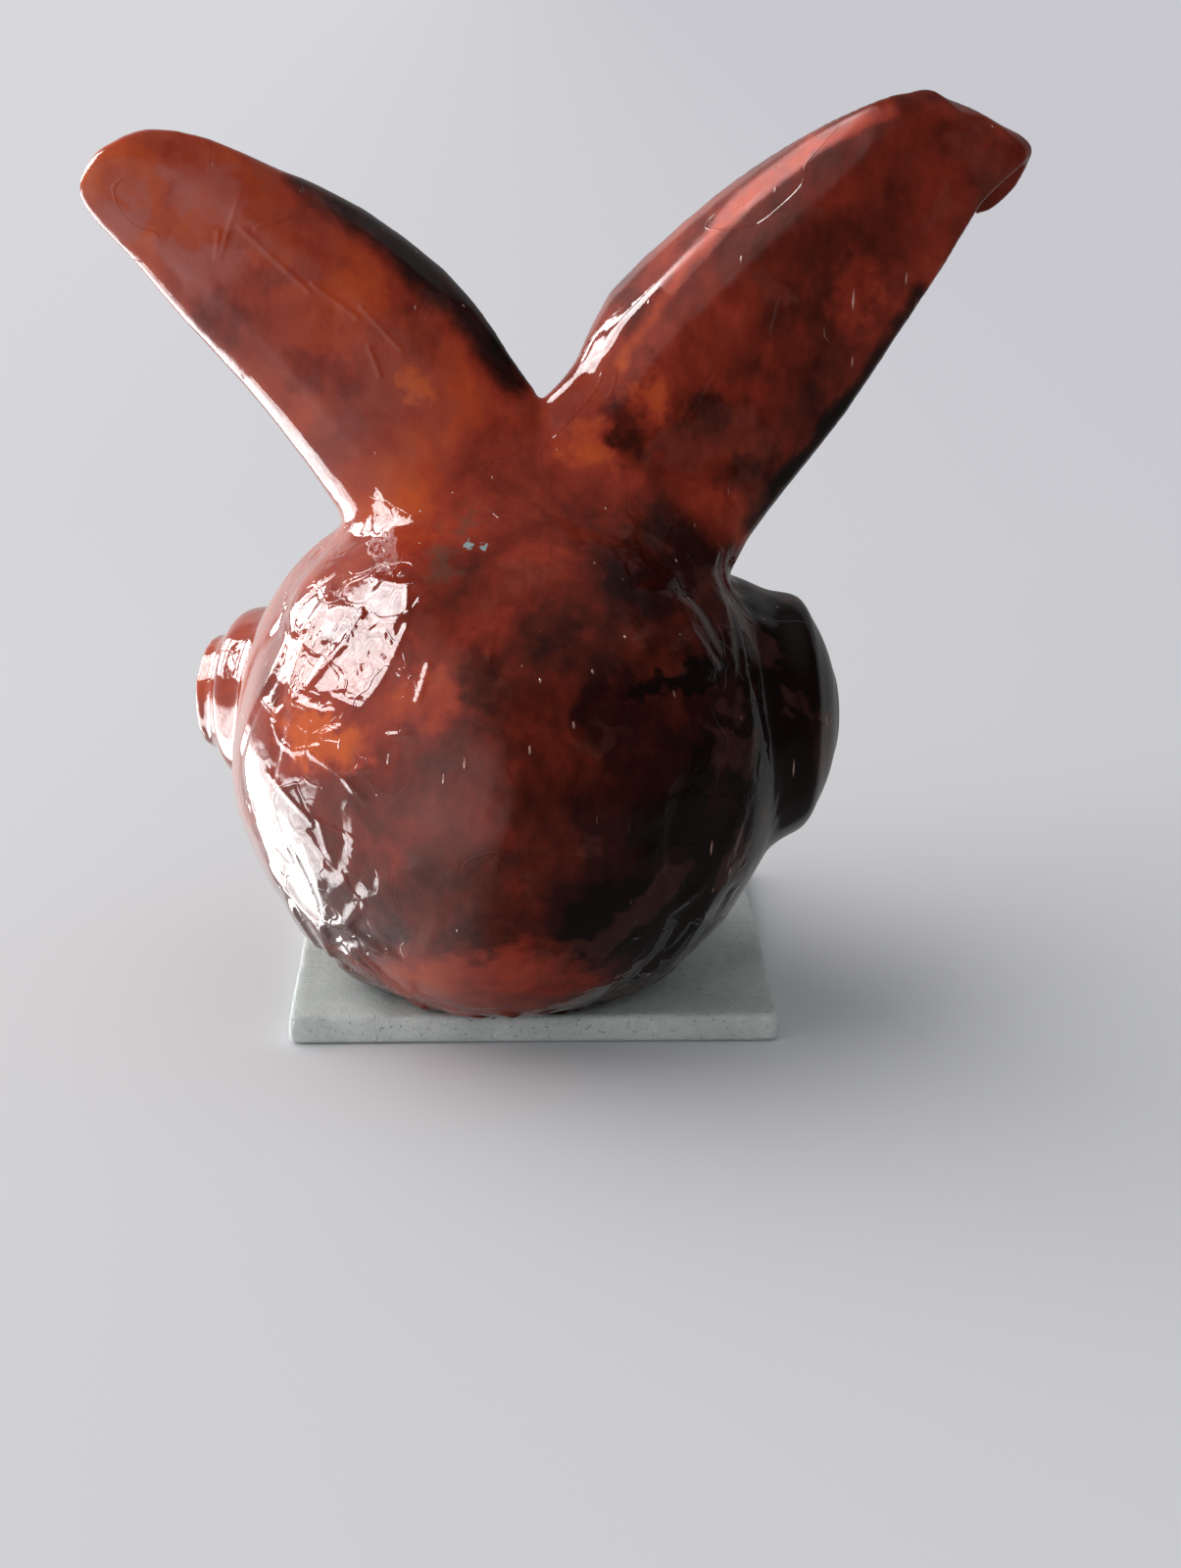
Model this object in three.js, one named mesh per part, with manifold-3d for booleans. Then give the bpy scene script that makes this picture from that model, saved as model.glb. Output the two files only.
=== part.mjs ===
// Rabbit head figurine: a varnished paper head on a square slab, in millimetres, +Z up.
// The origin is the centre of the slab's underside. The rabbit faces -Y, and its left side is +X.

import * as THREE from 'three';
import * as BufferGeometryUtils from 'three/addons/utils/BufferGeometryUtils.js';
import Module from 'manifold-3d';

const wasm = await Module();
wasm.setup();

// Driving dimensions of the slab and the ball

const fit = 0.3;                // clearance between pieces that touch

const slabSide = 70;
const slabThickness = 4.4;
const slabCornerRadius = 1.6;
const slabArris = 0.7;          // rounding of the top and bottom edges

const coreRadius = 37.5;        // a 75 mm foam craft ball
const skinThickness = 2.2;
const headX = 3.4;              // the ball stands off the middle of the slab
const headY = 14.6;
const seatCut = 6.5;            // how much of the ball's bottom is cut flat

const dowelRadius = 4;
const dowelLength = 26;

// Driving dimensions of what holds the ears and discs

const wireRadius = 1;
const wireDepthInCore = 20;
const wireSlant = 6;            // how far a wire moves sideways inside the core
const pegRadius = 1.1;
const pegLength = 22;
const pegDepthInDisc = 4;

// Driving dimensions of the eyes and of the foot of each disc

const eyeRadius = 7;
const eyeProud = 0.3;           // how far an eye stands out of its disc
const eyeSunk = 3;              // how deep an eye sits in its disc, at the eye's edge
const discSpread = 3;           // how much wider a disc is where it meets the ball
const discSpreadLength = 1.8;   // how quickly that fades away from the ball
const domePower = 2.4;          // higher makes the middle of a disc's face flatter

// Driving dimensions of the face

const cheekRadius = 11.5;
const cheekFlatness = 0.85;     // height of a cheek as a share of its width
const cheekSpacing = 15;        // between the centres of the two cheeks
const cheekDrop = 11.9;         // cheeks below the middle of the ball
const cheekProud = 6.5;         // how far the cheeks stand out of the ball
const noseWidth = 10;
const noseHeight = 7.5;
const noseDepth = 7;
const noseTaper = 0.35;
const noseProud = 0.6;          // how far the nose stands out past the cheeks
const noseRise = 8;             // nose above the centres of the cheeks
const chinRadius = 7;
const chinFlatness = 0.7;
const chinSunk = 1.5;
const chinDrop = 10.5;          // chin below the centres of the cheeks

// Driving dimensions that both ears share

const earsBehind = -0.6;        // ears behind the middle of the ball
const earsMeetAside = -3.6;     // plane between the ears, beside the middle of the ball
const rootSpread = 15;          // how much thicker an ear is where it spreads onto the ball
const rootSpreadLength = 7.5;   // how quickly that fades away from the ball
const rootSpreadStart = -4;     // height over the ball where the fading starts
const rimStart = 0.62;          // share of the half width where the rims start to curve forward
const rimSoftness = 0.5;
const cupStart = -4;            // along the ear: where the cupping starts, and where it is full
const cupFull = 16;
const cupHalfWidth = 12;        // a narrower blade is cupped less
const tipShare = 0.3;           // share of the thickness that is left at the very tip

// Each ear in its own frame: a runs from the ear's root to its tip, b from its outer to its inner
// edge. A row of an outline is [a of outer edge, b of outer edge, a of inner edge, b of inner edge].

const leftEar = {
  aside: 10,                    // root beside the middle of the ball
  above: 3.5,                   // root above the top of the ball
  lean: 50.3,                   // degrees from upright, away from the other ear
  outline: [
    [-24, -17, -24, 14],
    [-14, -20, -14, 14.5],
    [-4, -19.4, -4, 15.2],
    [4, -16.2, 4, 17.2],
    [13, -13.3, 14, 18.3],
    [26, -10.2, 28, 17.6],
    [38, -8.2, 40, 14.8],
    [48, -6, 50.5, 12.2],
    [55, -5, 57.4, 8.2],
    [59, -3.4, 59.8, 3.6],
    [60.4, -0.6, 60.6, 1.4],
  ],
  thickness: 5,
  tipThickness: 4.6,
  innerCup: 10,                 // how far the inner edge curves forward
  outerCup: 3.5,
  cupAtTip: 0.35,               // share of the cupping that is left at the tip
  cupFades: [26.4, 56],         // between these distances from the root
  wireReach: 44,
  fold: null,
};

const rightEar = {
  aside: -18.2,
  above: 1.4,
  lean: -48,
  outline: [
    [-24, -20, -24, 15],
    [-14, -23.5, -14, 15.5],
    [-4, -22.2, -4, 15.6],
    [4, -18.8, 3, 16],
    [14, -16.8, 12, 18.8],
    [26, -14.5, 26, 19.2],
    [38, -10.9, 39, 18.6],
    [50, -7.3, 51, 17],
    [59, -4.2, 59, 14.8],
    [66.6, -4, 66.5, 11.2],
    [71.4, -3.6, 70.5, 10],
    [76, -2.4, 74.2, 8.6],
    [79.4, 0.2, 77.4, 6.8],
    [80.4, 2, 79.6, 4.4],
  ],
  thickness: 4.8,
  tipThickness: 2.8,
  innerCup: 11,
  outerCup: 3,
  cupAtTip: 0,
  cupFades: [30, 62],
  wireReach: 50,
  fold: {
    start: 63,
    tilt: 21,                   // degrees that the fold line is turned in the blade
    radius: 3.2,
    turn: 170,                  // degrees that the tip is wrapped forward
  },
};

// Each eye disc: where its axis leaves the head, and its shape along that axis.

const leftDisc = {
  side: 1,
  ahead: 20.6,                  // in front of the middle of the ball
  above: 1.4,                   // above the middle of the ball
  turn: 16,                     // degrees that the axis points forward of sideways
  radius: 13,
  wall: 7.2,                    // from the ball to the edge of the domed face
  dome: 4.9,
  corner: 2.8,                  // rounding between wall and face
};

const rightDisc = {
  side: -1,
  ahead: 6.6,
  above: 2.9,
  turn: 4,
  radius: 17.4,
  wall: 4.1,
  dome: 4.2,
  corner: 2.2,
};

// Worked-out sizes

const headRadius = coreRadius + fit + skinThickness;
const seatZ = slabThickness + fit;
const headZ = seatZ + headRadius - seatCut;
const headCentre = new THREE.Vector3(headX, headY, headZ);
const earsMeetX = headX + earsMeetAside;
const cheekZ = headZ - cheekDrop;
const faceY = headY - Math.sqrt(headRadius ** 2 - cheekDrop ** 2);
const far = 400;                // larger than the whole object, for cutting tools
const up = new THREE.Vector3(0, 0, 1);

// Detail of round shapes

const ballSteps = 38;
const coreSteps = 26;
const dowelSteps = 28;
const eyeSteps = 28;
const cheekSteps = 24;
const smallSteps = 20;
const pegSteps = 12;
const wireSteps = 20;
const wireSides = 8;
const discSteps = 30;
const discWallRings = 7;
const discFaceRings = 6;
const eyeDomeRings = 5;
const stationsPerRow = 2;
const pointsAcrossEar = 11;

// Solids and meshes

function solidOf(geometry) {
  const bare = geometry.clone();
  bare.deleteAttribute('normal');
  bare.deleteAttribute('uv');
  const merged = BufferGeometryUtils.mergeVertices(bare, 1e-4);
  return new wasm.Manifold(new wasm.Mesh({
    numProp: 3,
    vertProperties: new Float32Array(merged.attributes.position.array),
    triVerts: new Uint32Array(merged.index.array),
  }));
}

function geometryOf(solid) {
  const mesh = solid.getMesh();
  const places = new THREE.BufferAttribute(new Float32Array(mesh.vertProperties), 3);
  const geometry = new THREE.BufferGeometry();
  geometry.setAttribute('position', places);
  geometry.setIndex(new THREE.BufferAttribute(new Uint32Array(mesh.triVerts), 1));
  return geometry;
}

function cut(body, ...tools) {
  return tools.reduce((rest, tool) => rest.subtract(tool), body);
}

// A ball that is scaled to its own radius in each direction.
function lobe(centre, radii, steps) {
  const geometry = new THREE.SphereGeometry(1, steps, Math.round(steps * 0.6));
  geometry.rotateX(Math.PI / 2);
  geometry.scale(radii.x, radii.y, radii.z);
  geometry.translate(centre.x, centre.y, centre.z);
  return solidOf(geometry);
}

function ball(centre, radius, steps) {
  return lobe(centre, new THREE.Vector3(radius, radius, radius), steps);
}

// A block that reaches from the given plane to well past the object.
function blockBelow(z) {
  const geometry = new THREE.BoxGeometry(far, far, far);
  geometry.translate(0, 0, z - far / 2);
  return solidOf(geometry);
}

function blockBeside(x, side) {
  const geometry = new THREE.BoxGeometry(far, far, far);
  geometry.translate(x + side * far / 2, 0, 0);
  return solidOf(geometry);
}

// Turns a geometry that stands on its +Y axis so that it points in a direction, and moves it.
function aim(geometry, start, direction) {
  const standing = new THREE.Vector3(0, 1, 0);
  const turn = new THREE.Quaternion().setFromUnitVectors(standing, direction.clone().normalize());
  geometry.applyQuaternion(turn);
  geometry.translate(start.x, start.y, start.z);
  return solidOf(geometry);
}

function rod(start, direction, length, radius, sides) {
  const geometry = new THREE.CylinderGeometry(radius, radius, length, sides);
  geometry.translate(0, length / 2, 0);
  return aim(geometry, start, direction);
}

// A solid of revolution about an axis that starts at a point, from [radius, distance] pairs.
function turned(profile, start, direction, steps) {
  const points = profile.map(([radius, distance]) => new THREE.Vector2(radius, distance));
  return aim(new THREE.LatheGeometry(points, steps), start, direction);
}

function tube(points, radius) {
  const section = new THREE.Shape();
  section.absarc(0, 0, radius, 0, 2 * Math.PI);
  return solidOf(new THREE.ExtrudeGeometry(section, {
    steps: wireSteps,
    curveSegments: wireSides / 2,
    extrudePath: new THREE.CatmullRomCurve3(points, false, 'centripetal'),
    bevelEnabled: false,
  }));
}

// The two triangles between two rings, split along the shorter diagonal.
function patch(lower, upper, firstLower, firstUpper, j) {
  const k = (j + 1) % lower.length;
  const [a, b, c, d] = [firstLower + j, firstLower + k, firstUpper + k, firstUpper + j];
  const rising = lower[j].distanceTo(upper[k]) < lower[k].distanceTo(upper[j]);
  return rising ? [a, b, c, a, c, d] : [a, b, d, b, c, d];
}

// A closed body through rings that all have the same number of points.
function loft(rings) {
  const count = rings[0].length;
  const points = rings.flat();
  const index = [];
  for (let i = 0; i + 1 < rings.length; i++) {
    for (let j = 0; j < count; j++) {
      index.push(...patch(rings[i], rings[i + 1], i * count, (i + 1) * count, j));
    }
  }
  const ends = [
    { ring: rings[0], first: 0, faces: (hub, a, b) => [hub, b, a] },
    { ring: rings.at(-1), first: points.length - count, faces: (hub, a, b) => [hub, a, b] },
  ];
  for (const { ring, first, faces } of ends) {
    const hub = points.length;
    points.push(ring.reduce((sum, point) => sum.add(point), new THREE.Vector3()).divideScalar(count));
    for (let j = 0; j < count; j++) {
      index.push(...faces(hub, first + j, first + (j + 1) % count));
    }
  }
  const geometry = new THREE.BufferGeometry().setFromPoints(points);
  geometry.setIndex(index);
  return solidOf(geometry);
}

// Ears

function earFrame(ear) {
  const lean = THREE.MathUtils.degToRad(ear.lean);
  const side = Math.sign(ear.lean);
  return {
    root: new THREE.Vector3(headX + ear.aside, headY + earsBehind, headZ + headRadius + ear.above),
    along: new THREE.Vector3(Math.sin(lean), 0, Math.cos(lean)),
    across: new THREE.Vector3(-side * Math.cos(lean), 0, side * Math.sin(lean)),
  };
}

// The curled tip: what lies past the fold line is wrapped forward round a small radius.
function folded(a, b, y, fold) {
  if (!fold) return [a, b, y];
  const tilt = THREE.MathUtils.degToRad(fold.tilt);
  const past = (a - fold.start) * Math.cos(tilt) + b * Math.sin(tilt);
  if (past <= 0) return [a, b, y];
  const angle = Math.min(past / fold.radius, THREE.MathUtils.degToRad(fold.turn));
  const straight = past - angle * fold.radius;
  const reach = (fold.radius + y) * Math.sin(angle) + straight * Math.cos(angle);
  const depth = (fold.radius + y) * Math.cos(angle) - fold.radius - straight * Math.sin(angle);
  return [a + (reach - past) * Math.cos(tilt), b + (reach - past) * Math.sin(tilt), depth];
}

function earPoint(ear, a, b, y) {
  const { root, along, across } = earFrame(ear);
  const [foldedA, foldedB, foldedY] = folded(a, b, y, ear.fold);
  const point = root.clone().addScaledVector(along, foldedA).addScaledVector(across, foldedB);
  point.y += foldedY;
  return point;
}

// How much the blade is thickened at (a, b), where it spreads onto the ball.
function rootThickening(ear, a, b) {
  const { root, along, across } = earFrame(ear);
  const point = root.clone().addScaledVector(along, a).addScaledVector(across, b);
  const above = Math.hypot(point.x - headX, point.z - headZ) - headRadius;
  return rootSpread * Math.exp(-Math.max(0, above - rootSpreadStart) / rootSpreadLength);
}

// The cross-section at a share t of the blade's length: its middle line and its sizes.
function earSection(ear, t) {
  const edge = (first) => new THREE.SplineCurve(
    ear.outline.map((row) => new THREE.Vector2(row[first], row[first + 1])),
  ).getPoint(t);
  const outer = edge(0);
  const inner = edge(2);
  const middle = outer.clone().add(inner).multiplyScalar(0.5);
  const half = inner.clone().sub(outer).multiplyScalar(0.5);
  const halfWidth = half.length();
  const thinning = Math.min(1, halfWidth / 2 + tipShare);
  const faded = THREE.MathUtils.smoothstep(middle.x, ...ear.cupFades);
  const cupping = THREE.MathUtils.smoothstep(middle.x, cupStart, cupFull)
    * THREE.MathUtils.lerp(1, ear.cupAtTip, faded) * Math.min(1, halfWidth / cupHalfWidth);
  return {
    middle,
    half,
    halfWidth,
    cupping,
    thickness: THREE.MathUtils.lerp(ear.thickness, ear.tipThickness, t) * thinning,
  };
}

// How far back the blade lies at a share u of its half width; -1 is the outer edge, 1 the inner.
function cupAt(ear, section, u) {
  const past = Math.max(0, (Math.abs(u) - rimStart) / (1 - rimStart));
  const bend = past ** 2 / (past + rimSoftness) * (1 + rimSoftness);
  return -section.cupping * (u > 0 ? ear.innerCup : ear.outerCup) * bend;
}

function cupSlope(ear, section, u) {
  const step = 0.01;
  const rise = cupAt(ear, section, u + step) - cupAt(ear, section, u - step);
  return rise / (2 * step * section.halfWidth);
}

function earRing(ear, t) {
  const section = earSection(ear, t);
  const { middle, half, halfWidth, thickness } = section;
  const back = [];
  const front = [];
  for (let i = 0; i < pointsAcrossEar; i++) {
    const u = -Math.cos(Math.PI * (i + 0.5) / pointsAcrossEar);
    const slope = cupSlope(ear, section, u);
    const steepness = Math.hypot(1, slope);
    const a = middle.x + half.x * u;
    const b = middle.y + half.y * u;
    const spread = rootThickening(ear, a, b) * (1 - u ** 4);
    const roundedEdge = Math.sqrt(1 - u ** 8);
    for (const [side, list] of [[1, back], [-1, front]]) {
      const offset = side * thickness / 2 * roundedEdge;
      const shift = -offset * slope / steepness / halfWidth;
      const y = cupAt(ear, section, u) + offset / steepness + side * spread;
      list.push(earPoint(ear, a + half.x * shift, b + half.y * shift, y));
    }
  }
  const rim = (u) => earPoint(
    ear, middle.x + half.x * u, middle.y + half.y * u, cupAt(ear, section, u),
  );
  const ring = [rim(-1), ...back, rim(1), ...front.reverse()];
  return ear.lean > 0 ? ring : ring.reverse();
}

function earBlade(ear) {
  const steps = (ear.outline.length - 1) * stationsPerRow;
  const rings = [];
  for (let i = 0; i <= steps; i++) rings.push(earRing(ear, i / steps));
  return loft(rings);
}

// The wire's middle line, from its end in the core to its end in the blade.
function earWirePoints(ear) {
  const { root } = earFrame(ear);
  const side = Math.sign(ear.lean);
  const topOfCore = headZ + coreRadius;
  return [
    new THREE.Vector3(root.x - side * wireSlant, root.y, topOfCore - wireDepthInCore),
    new THREE.Vector3(root.x - side * wireSlant / 2, root.y, topOfCore - wireDepthInCore / 2),
    earPoint(ear, 0, 0, 0),
    earPoint(ear, ear.wireReach / 2, 3, 0),
    earPoint(ear, ear.wireReach, 4, 0),
  ];
}

// Eye discs

function discAxis(disc) {
  const turn = THREE.MathUtils.degToRad(disc.turn);
  const reach = Math.sqrt(headRadius ** 2 - disc.ahead ** 2 - disc.above ** 2);
  return {
    surface: new THREE.Vector3(headX + disc.side * reach, headY - disc.ahead, headZ + disc.above),
    direction: new THREE.Vector3(disc.side * Math.cos(turn), -Math.sin(turn), 0),
  };
}

// Height of a disc's domed face above the ball, at a share of the face's radius.
function faceHeight(disc, share) {
  return disc.wall + disc.dome * (1 - share ** domePower);
}

// A ring of points about a disc's axis, at a height above the ball; near the ball it spreads out.
function discRing(disc, radius, height) {
  const { surface, direction } = discAxis(disc);
  const across = new THREE.Vector3(-direction.y, direction.x, 0);
  const centre = surface.clone().addScaledVector(direction, height);
  const ring = [];
  for (let i = 0; i < discSteps; i++) {
    const angle = 2 * Math.PI * i / discSteps;
    const spoke = across.clone().multiplyScalar(Math.cos(angle)).addScaledVector(up, Math.sin(angle));
    const above = centre.clone().addScaledVector(spoke, radius).distanceTo(headCentre) - headRadius;
    const spread = discSpread * Math.exp(-Math.max(0, above) / discSpreadLength);
    const wider = radius + spread * (radius / disc.radius) ** 4;
    ring.push(centre.clone().addScaledVector(spoke, wider));
  }
  return ring;
}

function discBody(disc) {
  const { radius, corner, wall } = disc;
  const wallTop = wall - corner;
  const wallLength = wallTop + radius * 0.8;
  const rings = [discRing(disc, radius, wallTop - 2 * radius)];
  for (let i = 0; i <= discWallRings; i++) {
    rings.push(discRing(disc, radius, wallTop - wallLength * (1 - i / discWallRings)));
  }
  const eased = corner * 0.3;
  rings.push(discRing(disc, radius - eased, wall - eased));
  for (let i = 0; i < discFaceRings; i++) {
    const share = 1 - i / discFaceRings;
    rings.push(discRing(disc, (radius - corner) * share, faceHeight(disc, share)));
  }
  return loft(rings);
}

// A rounded button let into the domed face of its disc.
function eyeBody(disc, grow) {
  const { surface, direction } = discAxis(disc);
  const edge = faceHeight(disc, eyeRadius / (disc.radius - disc.corner));
  const rise = disc.wall + disc.dome + eyeProud - edge + grow;
  const bottom = edge - eyeSunk - grow;
  const radius = eyeRadius + grow;
  const profile = [[0, bottom], [radius, bottom], [radius, edge]];
  for (let i = 1; i <= eyeDomeRings; i++) {
    const angle = Math.PI / 2 * i / eyeDomeRings;
    profile.push([radius * Math.cos(angle), edge + rise * Math.sin(angle)]);
  }
  return turned(profile, surface, direction, eyeSteps);
}

function pegBody(disc, grow) {
  const { surface, direction } = discAxis(disc);
  const start = surface.clone().addScaledVector(direction, pegDepthInDisc - pegLength - grow);
  return rod(start, direction, pegLength + 2 * grow, pegRadius + grow, pegSteps);
}

// Face

function cheekBody(side, grow) {
  const y = faceY + cheekRadius - cheekProud;
  const centre = new THREE.Vector3(headX + side * cheekSpacing / 2, y, cheekZ);
  const radius = cheekRadius + grow;
  const height = cheekRadius * cheekFlatness + grow;
  return lobe(centre, new THREE.Vector3(radius, radius, height), cheekSteps);
}

// A rounded wedge, wide at the top and narrow at the bottom.
function noseBody() {
  const geometry = new THREE.SphereGeometry(1, smallSteps, smallSteps - 6);
  geometry.rotateX(Math.PI / 2);
  const place = geometry.attributes.position;
  for (let i = 0; i < place.count; i++) {
    place.setX(i, place.getX(i) * (1 + noseTaper * place.getZ(i)));
  }
  geometry.scale(noseWidth / 2, noseDepth, noseHeight / 2);
  geometry.translate(headX, faceY - cheekProud - noseProud + noseDepth, cheekZ + noseRise);
  return solidOf(geometry);
}

function chinBody() {
  const centre = new THREE.Vector3(headX, faceY + chinRadius - chinSunk, cheekZ - chinDrop);
  const radii = new THREE.Vector3(chinRadius, chinRadius, chinRadius * chinFlatness);
  return lobe(centre, radii, smallSteps);
}

// Slab

function slabBody() {
  const half = slabSide / 2 - slabArris;
  const inset = half - slabCornerRadius;
  const corners = [[inset, -inset], [inset, inset], [-inset, inset], [-inset, -inset]];
  const outline = new THREE.Shape();
  corners.forEach(([x, y], i) => {
    const from = Math.PI / 2 * (i - 1);
    outline.absarc(x, y, slabCornerRadius, from, from + Math.PI / 2);
  });
  outline.closePath();
  const geometry = new THREE.ExtrudeGeometry(outline, {
    depth: slabThickness - 2 * slabArris,
    curveSegments: 4,
    bevelThickness: slabArris,
    bevelSize: slabArris,
    bevelSegments: 2,
  });
  geometry.translate(0, 0, slabArris);
  return solidOf(geometry);
}

// Materials

const red = new THREE.MeshStandardMaterial({ color: 0x8f2415, roughness: 0.15, metalness: 0 });
const darkEye = new THREE.MeshStandardMaterial({ color: 0x150b08, roughness: 0.06, metalness: 0 });
const plaster = new THREE.MeshStandardMaterial({ color: 0xa9b6b2, roughness: 0.85, metalness: 0 });
const foam = new THREE.MeshStandardMaterial({ color: 0xf2f1ec, roughness: 0.9, metalness: 0 });
const steel = new THREE.MeshStandardMaterial({ color: 0x9a9c9f, roughness: 0.35, metalness: 1 });
const wood = new THREE.MeshStandardMaterial({ color: 0xcfa877, roughness: 0.7, metalness: 0 });

// Assembly

const rabbit = new THREE.Group();

function addPiece(name, solid, material) {
  const mesh = new THREE.Mesh(geometryOf(solid), material);
  mesh.name = name;
  rabbit.add(mesh);
}

const sides = [
  { name: 'left', ear: leftEar, disc: leftDisc },
  { name: 'right', ear: rightEar, disc: rightDisc },
];

const dowelFoot = new THREE.Vector3(headX, headY, fit);
const belowSlab = new THREE.Vector3(headX, headY, -1);
const dowelHole = rod(
  belowSlab, up, dowelFoot.z + dowelLength + fit - belowSlab.z, dowelRadius + fit, dowelSteps,
);
const belowSeat = blockBelow(seatZ);
const headClear = ball(headCentre, headRadius + fit, ballSteps);
const wireHoles = sides.map(({ ear }) => tube(earWirePoints(ear), wireRadius + fit));
const pegHoles = sides.map(({ disc }) => pegBody(disc, fit));
const bores = [...wireHoles, ...pegHoles];
const cheeksClear = sides.map(({ disc }) => cheekBody(disc.side, fit));

function addBase() {
  const core = ball(headCentre, coreRadius, coreSteps);
  const skin = ball(headCentre, headRadius, ballSteps);
  const insideSkin = ball(headCentre, coreRadius + fit, ballSteps);
  addPiece('base_slab', cut(slabBody(), dowelHole), plaster);
  addPiece('mounting_dowel', rod(dowelFoot, up, dowelLength, dowelRadius, dowelSteps), wood);
  addPiece('foam_core', cut(core, belowSeat, dowelHole, ...bores), foam);
  addPiece('head_skin', cut(skin, insideSkin, belowSeat, ...bores), red);
}

function addSide({ name, ear, disc }) {
  const otherEar = blockBeside(earsMeetX + disc.side * fit / 2, -disc.side);
  const otherCheek = blockBeside(headX + disc.side * fit / 2, -disc.side);
  const discHoles = [eyeBody(disc, fit), ...pegHoles];
  addPiece(`${name}_ear`, cut(earBlade(ear), headClear, otherEar, ...wireHoles), red);
  addPiece(`${name}_ear_wire`, tube(earWirePoints(ear), wireRadius), steel);
  addPiece(`${name}_eye_disc`, cut(discBody(disc), headClear, ...discHoles), red);
  addPiece(`${name}_eye`, eyeBody(disc, 0), darkEye);
  addPiece(`${name}_eye_peg`, pegBody(disc, 0), wood);
  addPiece(`${name}_cheek`, cut(cheekBody(disc.side, 0), headClear, otherCheek), red);
}

addBase();
sides.forEach(addSide);
addPiece('nose', cut(noseBody(), headClear, ...cheeksClear), darkEye);
addPiece('chin', cut(chinBody(), headClear, ...cheeksClear), red);

export default rabbit;
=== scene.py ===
import math

import bpy
from mathutils import Matrix, Vector, noise


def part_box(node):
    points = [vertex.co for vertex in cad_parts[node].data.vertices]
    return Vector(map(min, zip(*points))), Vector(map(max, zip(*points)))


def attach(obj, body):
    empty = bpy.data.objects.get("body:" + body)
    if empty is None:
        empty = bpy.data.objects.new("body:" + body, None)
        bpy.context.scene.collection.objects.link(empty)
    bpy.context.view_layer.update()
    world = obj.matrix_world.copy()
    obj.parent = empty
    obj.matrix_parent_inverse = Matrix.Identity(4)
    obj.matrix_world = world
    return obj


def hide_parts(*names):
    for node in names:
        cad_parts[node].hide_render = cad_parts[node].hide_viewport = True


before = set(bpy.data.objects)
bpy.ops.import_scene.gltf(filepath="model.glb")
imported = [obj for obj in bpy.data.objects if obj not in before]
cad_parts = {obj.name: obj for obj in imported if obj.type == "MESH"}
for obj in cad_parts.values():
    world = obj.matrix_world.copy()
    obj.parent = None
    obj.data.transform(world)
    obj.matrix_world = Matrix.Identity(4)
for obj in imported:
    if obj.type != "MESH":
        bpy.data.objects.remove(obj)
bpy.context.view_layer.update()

# Sizes are in metres, as in the frame, and are named in millimetres where that reads better.
MM = 0.001

# The ball under the paper, worked out from the frame.
core_low, core_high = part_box("foam_core")
skin_low, skin_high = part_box("head_skin")
CORE_RADIUS = (core_high.x - core_low.x) / 2
HEAD = Vector((
    (core_low.x + core_high.x) / 2,
    (core_low.y + core_high.y) / 2,
    core_high.z - CORE_RADIUS,
))
HEAD_RADIUS = skin_high.z - HEAD.z
SEAT_Z = skin_low.z
CAVITY_RADIUS = CORE_RADIUS + 0.3 * MM

# The paper surface.
PAPER_CELL = 0.57 * MM
GLUE_GAP = 0.26 * MM
FILLET_REACH = 6 * MM
FILLET_PASSES = 70
EAR_SPLIT_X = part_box("right_ear")[1].x + 0.15 * MM

# The slab.
slab_low, slab_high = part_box("base_slab")
SLAB_CELL = 0.6 * MM

PAPER_NODES = (
    "left_ear", "right_ear", "left_eye_disc", "right_eye_disc",
    "left_cheek", "right_cheek", "chin",
)


def deselect():
    """Leaves nothing selected."""
    for item in list(bpy.context.selected_objects):
        item.select_set(False)


def pick(*pieces):
    """Selects these objects alone and makes the first one active."""
    deselect()
    for piece in pieces:
        piece.select_set(True)
    bpy.context.view_layer.objects.active = pieces[0]


def added(name):
    """Names the primitive that was just added and puts its place into its mesh."""
    piece = bpy.context.active_object
    piece.name = name
    piece.data.name = name
    pick(piece)
    bpy.ops.object.transform_apply(location=True, rotation=True, scale=True)
    return piece


def apply_modifier(piece, kind, **settings):
    """Adds one modifier with these settings and applies it."""
    modifier = piece.modifiers.new(kind.lower(), kind)
    for name, value in settings.items():
        setattr(modifier, name, value)
    pick(piece)
    bpy.ops.object.modifier_apply(modifier=modifier.name)


def copy_of(source, name):
    """A loose copy of a mesh, with its own data."""
    twin = source.copy()
    twin.data = source.data.copy()
    twin.name = name
    twin.data.name = name
    twin.parent = None
    for key in list(twin.keys()):
        del twin[key]
    bpy.context.scene.collection.objects.link(twin)
    return twin


def node_copy(node_name):
    """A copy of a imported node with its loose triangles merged."""
    twin = copy_of(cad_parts[node_name], node_name + "_form")
    pick(twin)
    bpy.ops.object.mode_set(mode="EDIT")
    bpy.ops.mesh.select_all(action="SELECT")
    bpy.ops.mesh.remove_doubles(threshold=0.001 * MM)
    bpy.ops.object.mode_set(mode="OBJECT")
    return twin


def delete(piece):
    """Takes a helper object out of the file."""
    bpy.data.objects.remove(piece)


def middle(node_name):
    """The middle of a node's box."""
    low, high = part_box(node_name)
    return (low + high) / 2


def smooth_curves(piece, degrees=40):
    """Smooth shading with hard edges only where faces meet at a real angle."""
    pick(piece)
    bpy.ops.object.shade_smooth_by_angle(angle=math.radians(degrees))


def weight_by(piece, name, rule):
    """A vertex group whose weights come from a rule on each vertex's place."""
    group = piece.vertex_groups.new(name=name)
    for vertex in piece.data.vertices:
        weight = rule(vertex.co)
        if weight > 0:
            group.add([vertex.index], min(weight, 1.0), "REPLACE")
    return group


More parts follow.
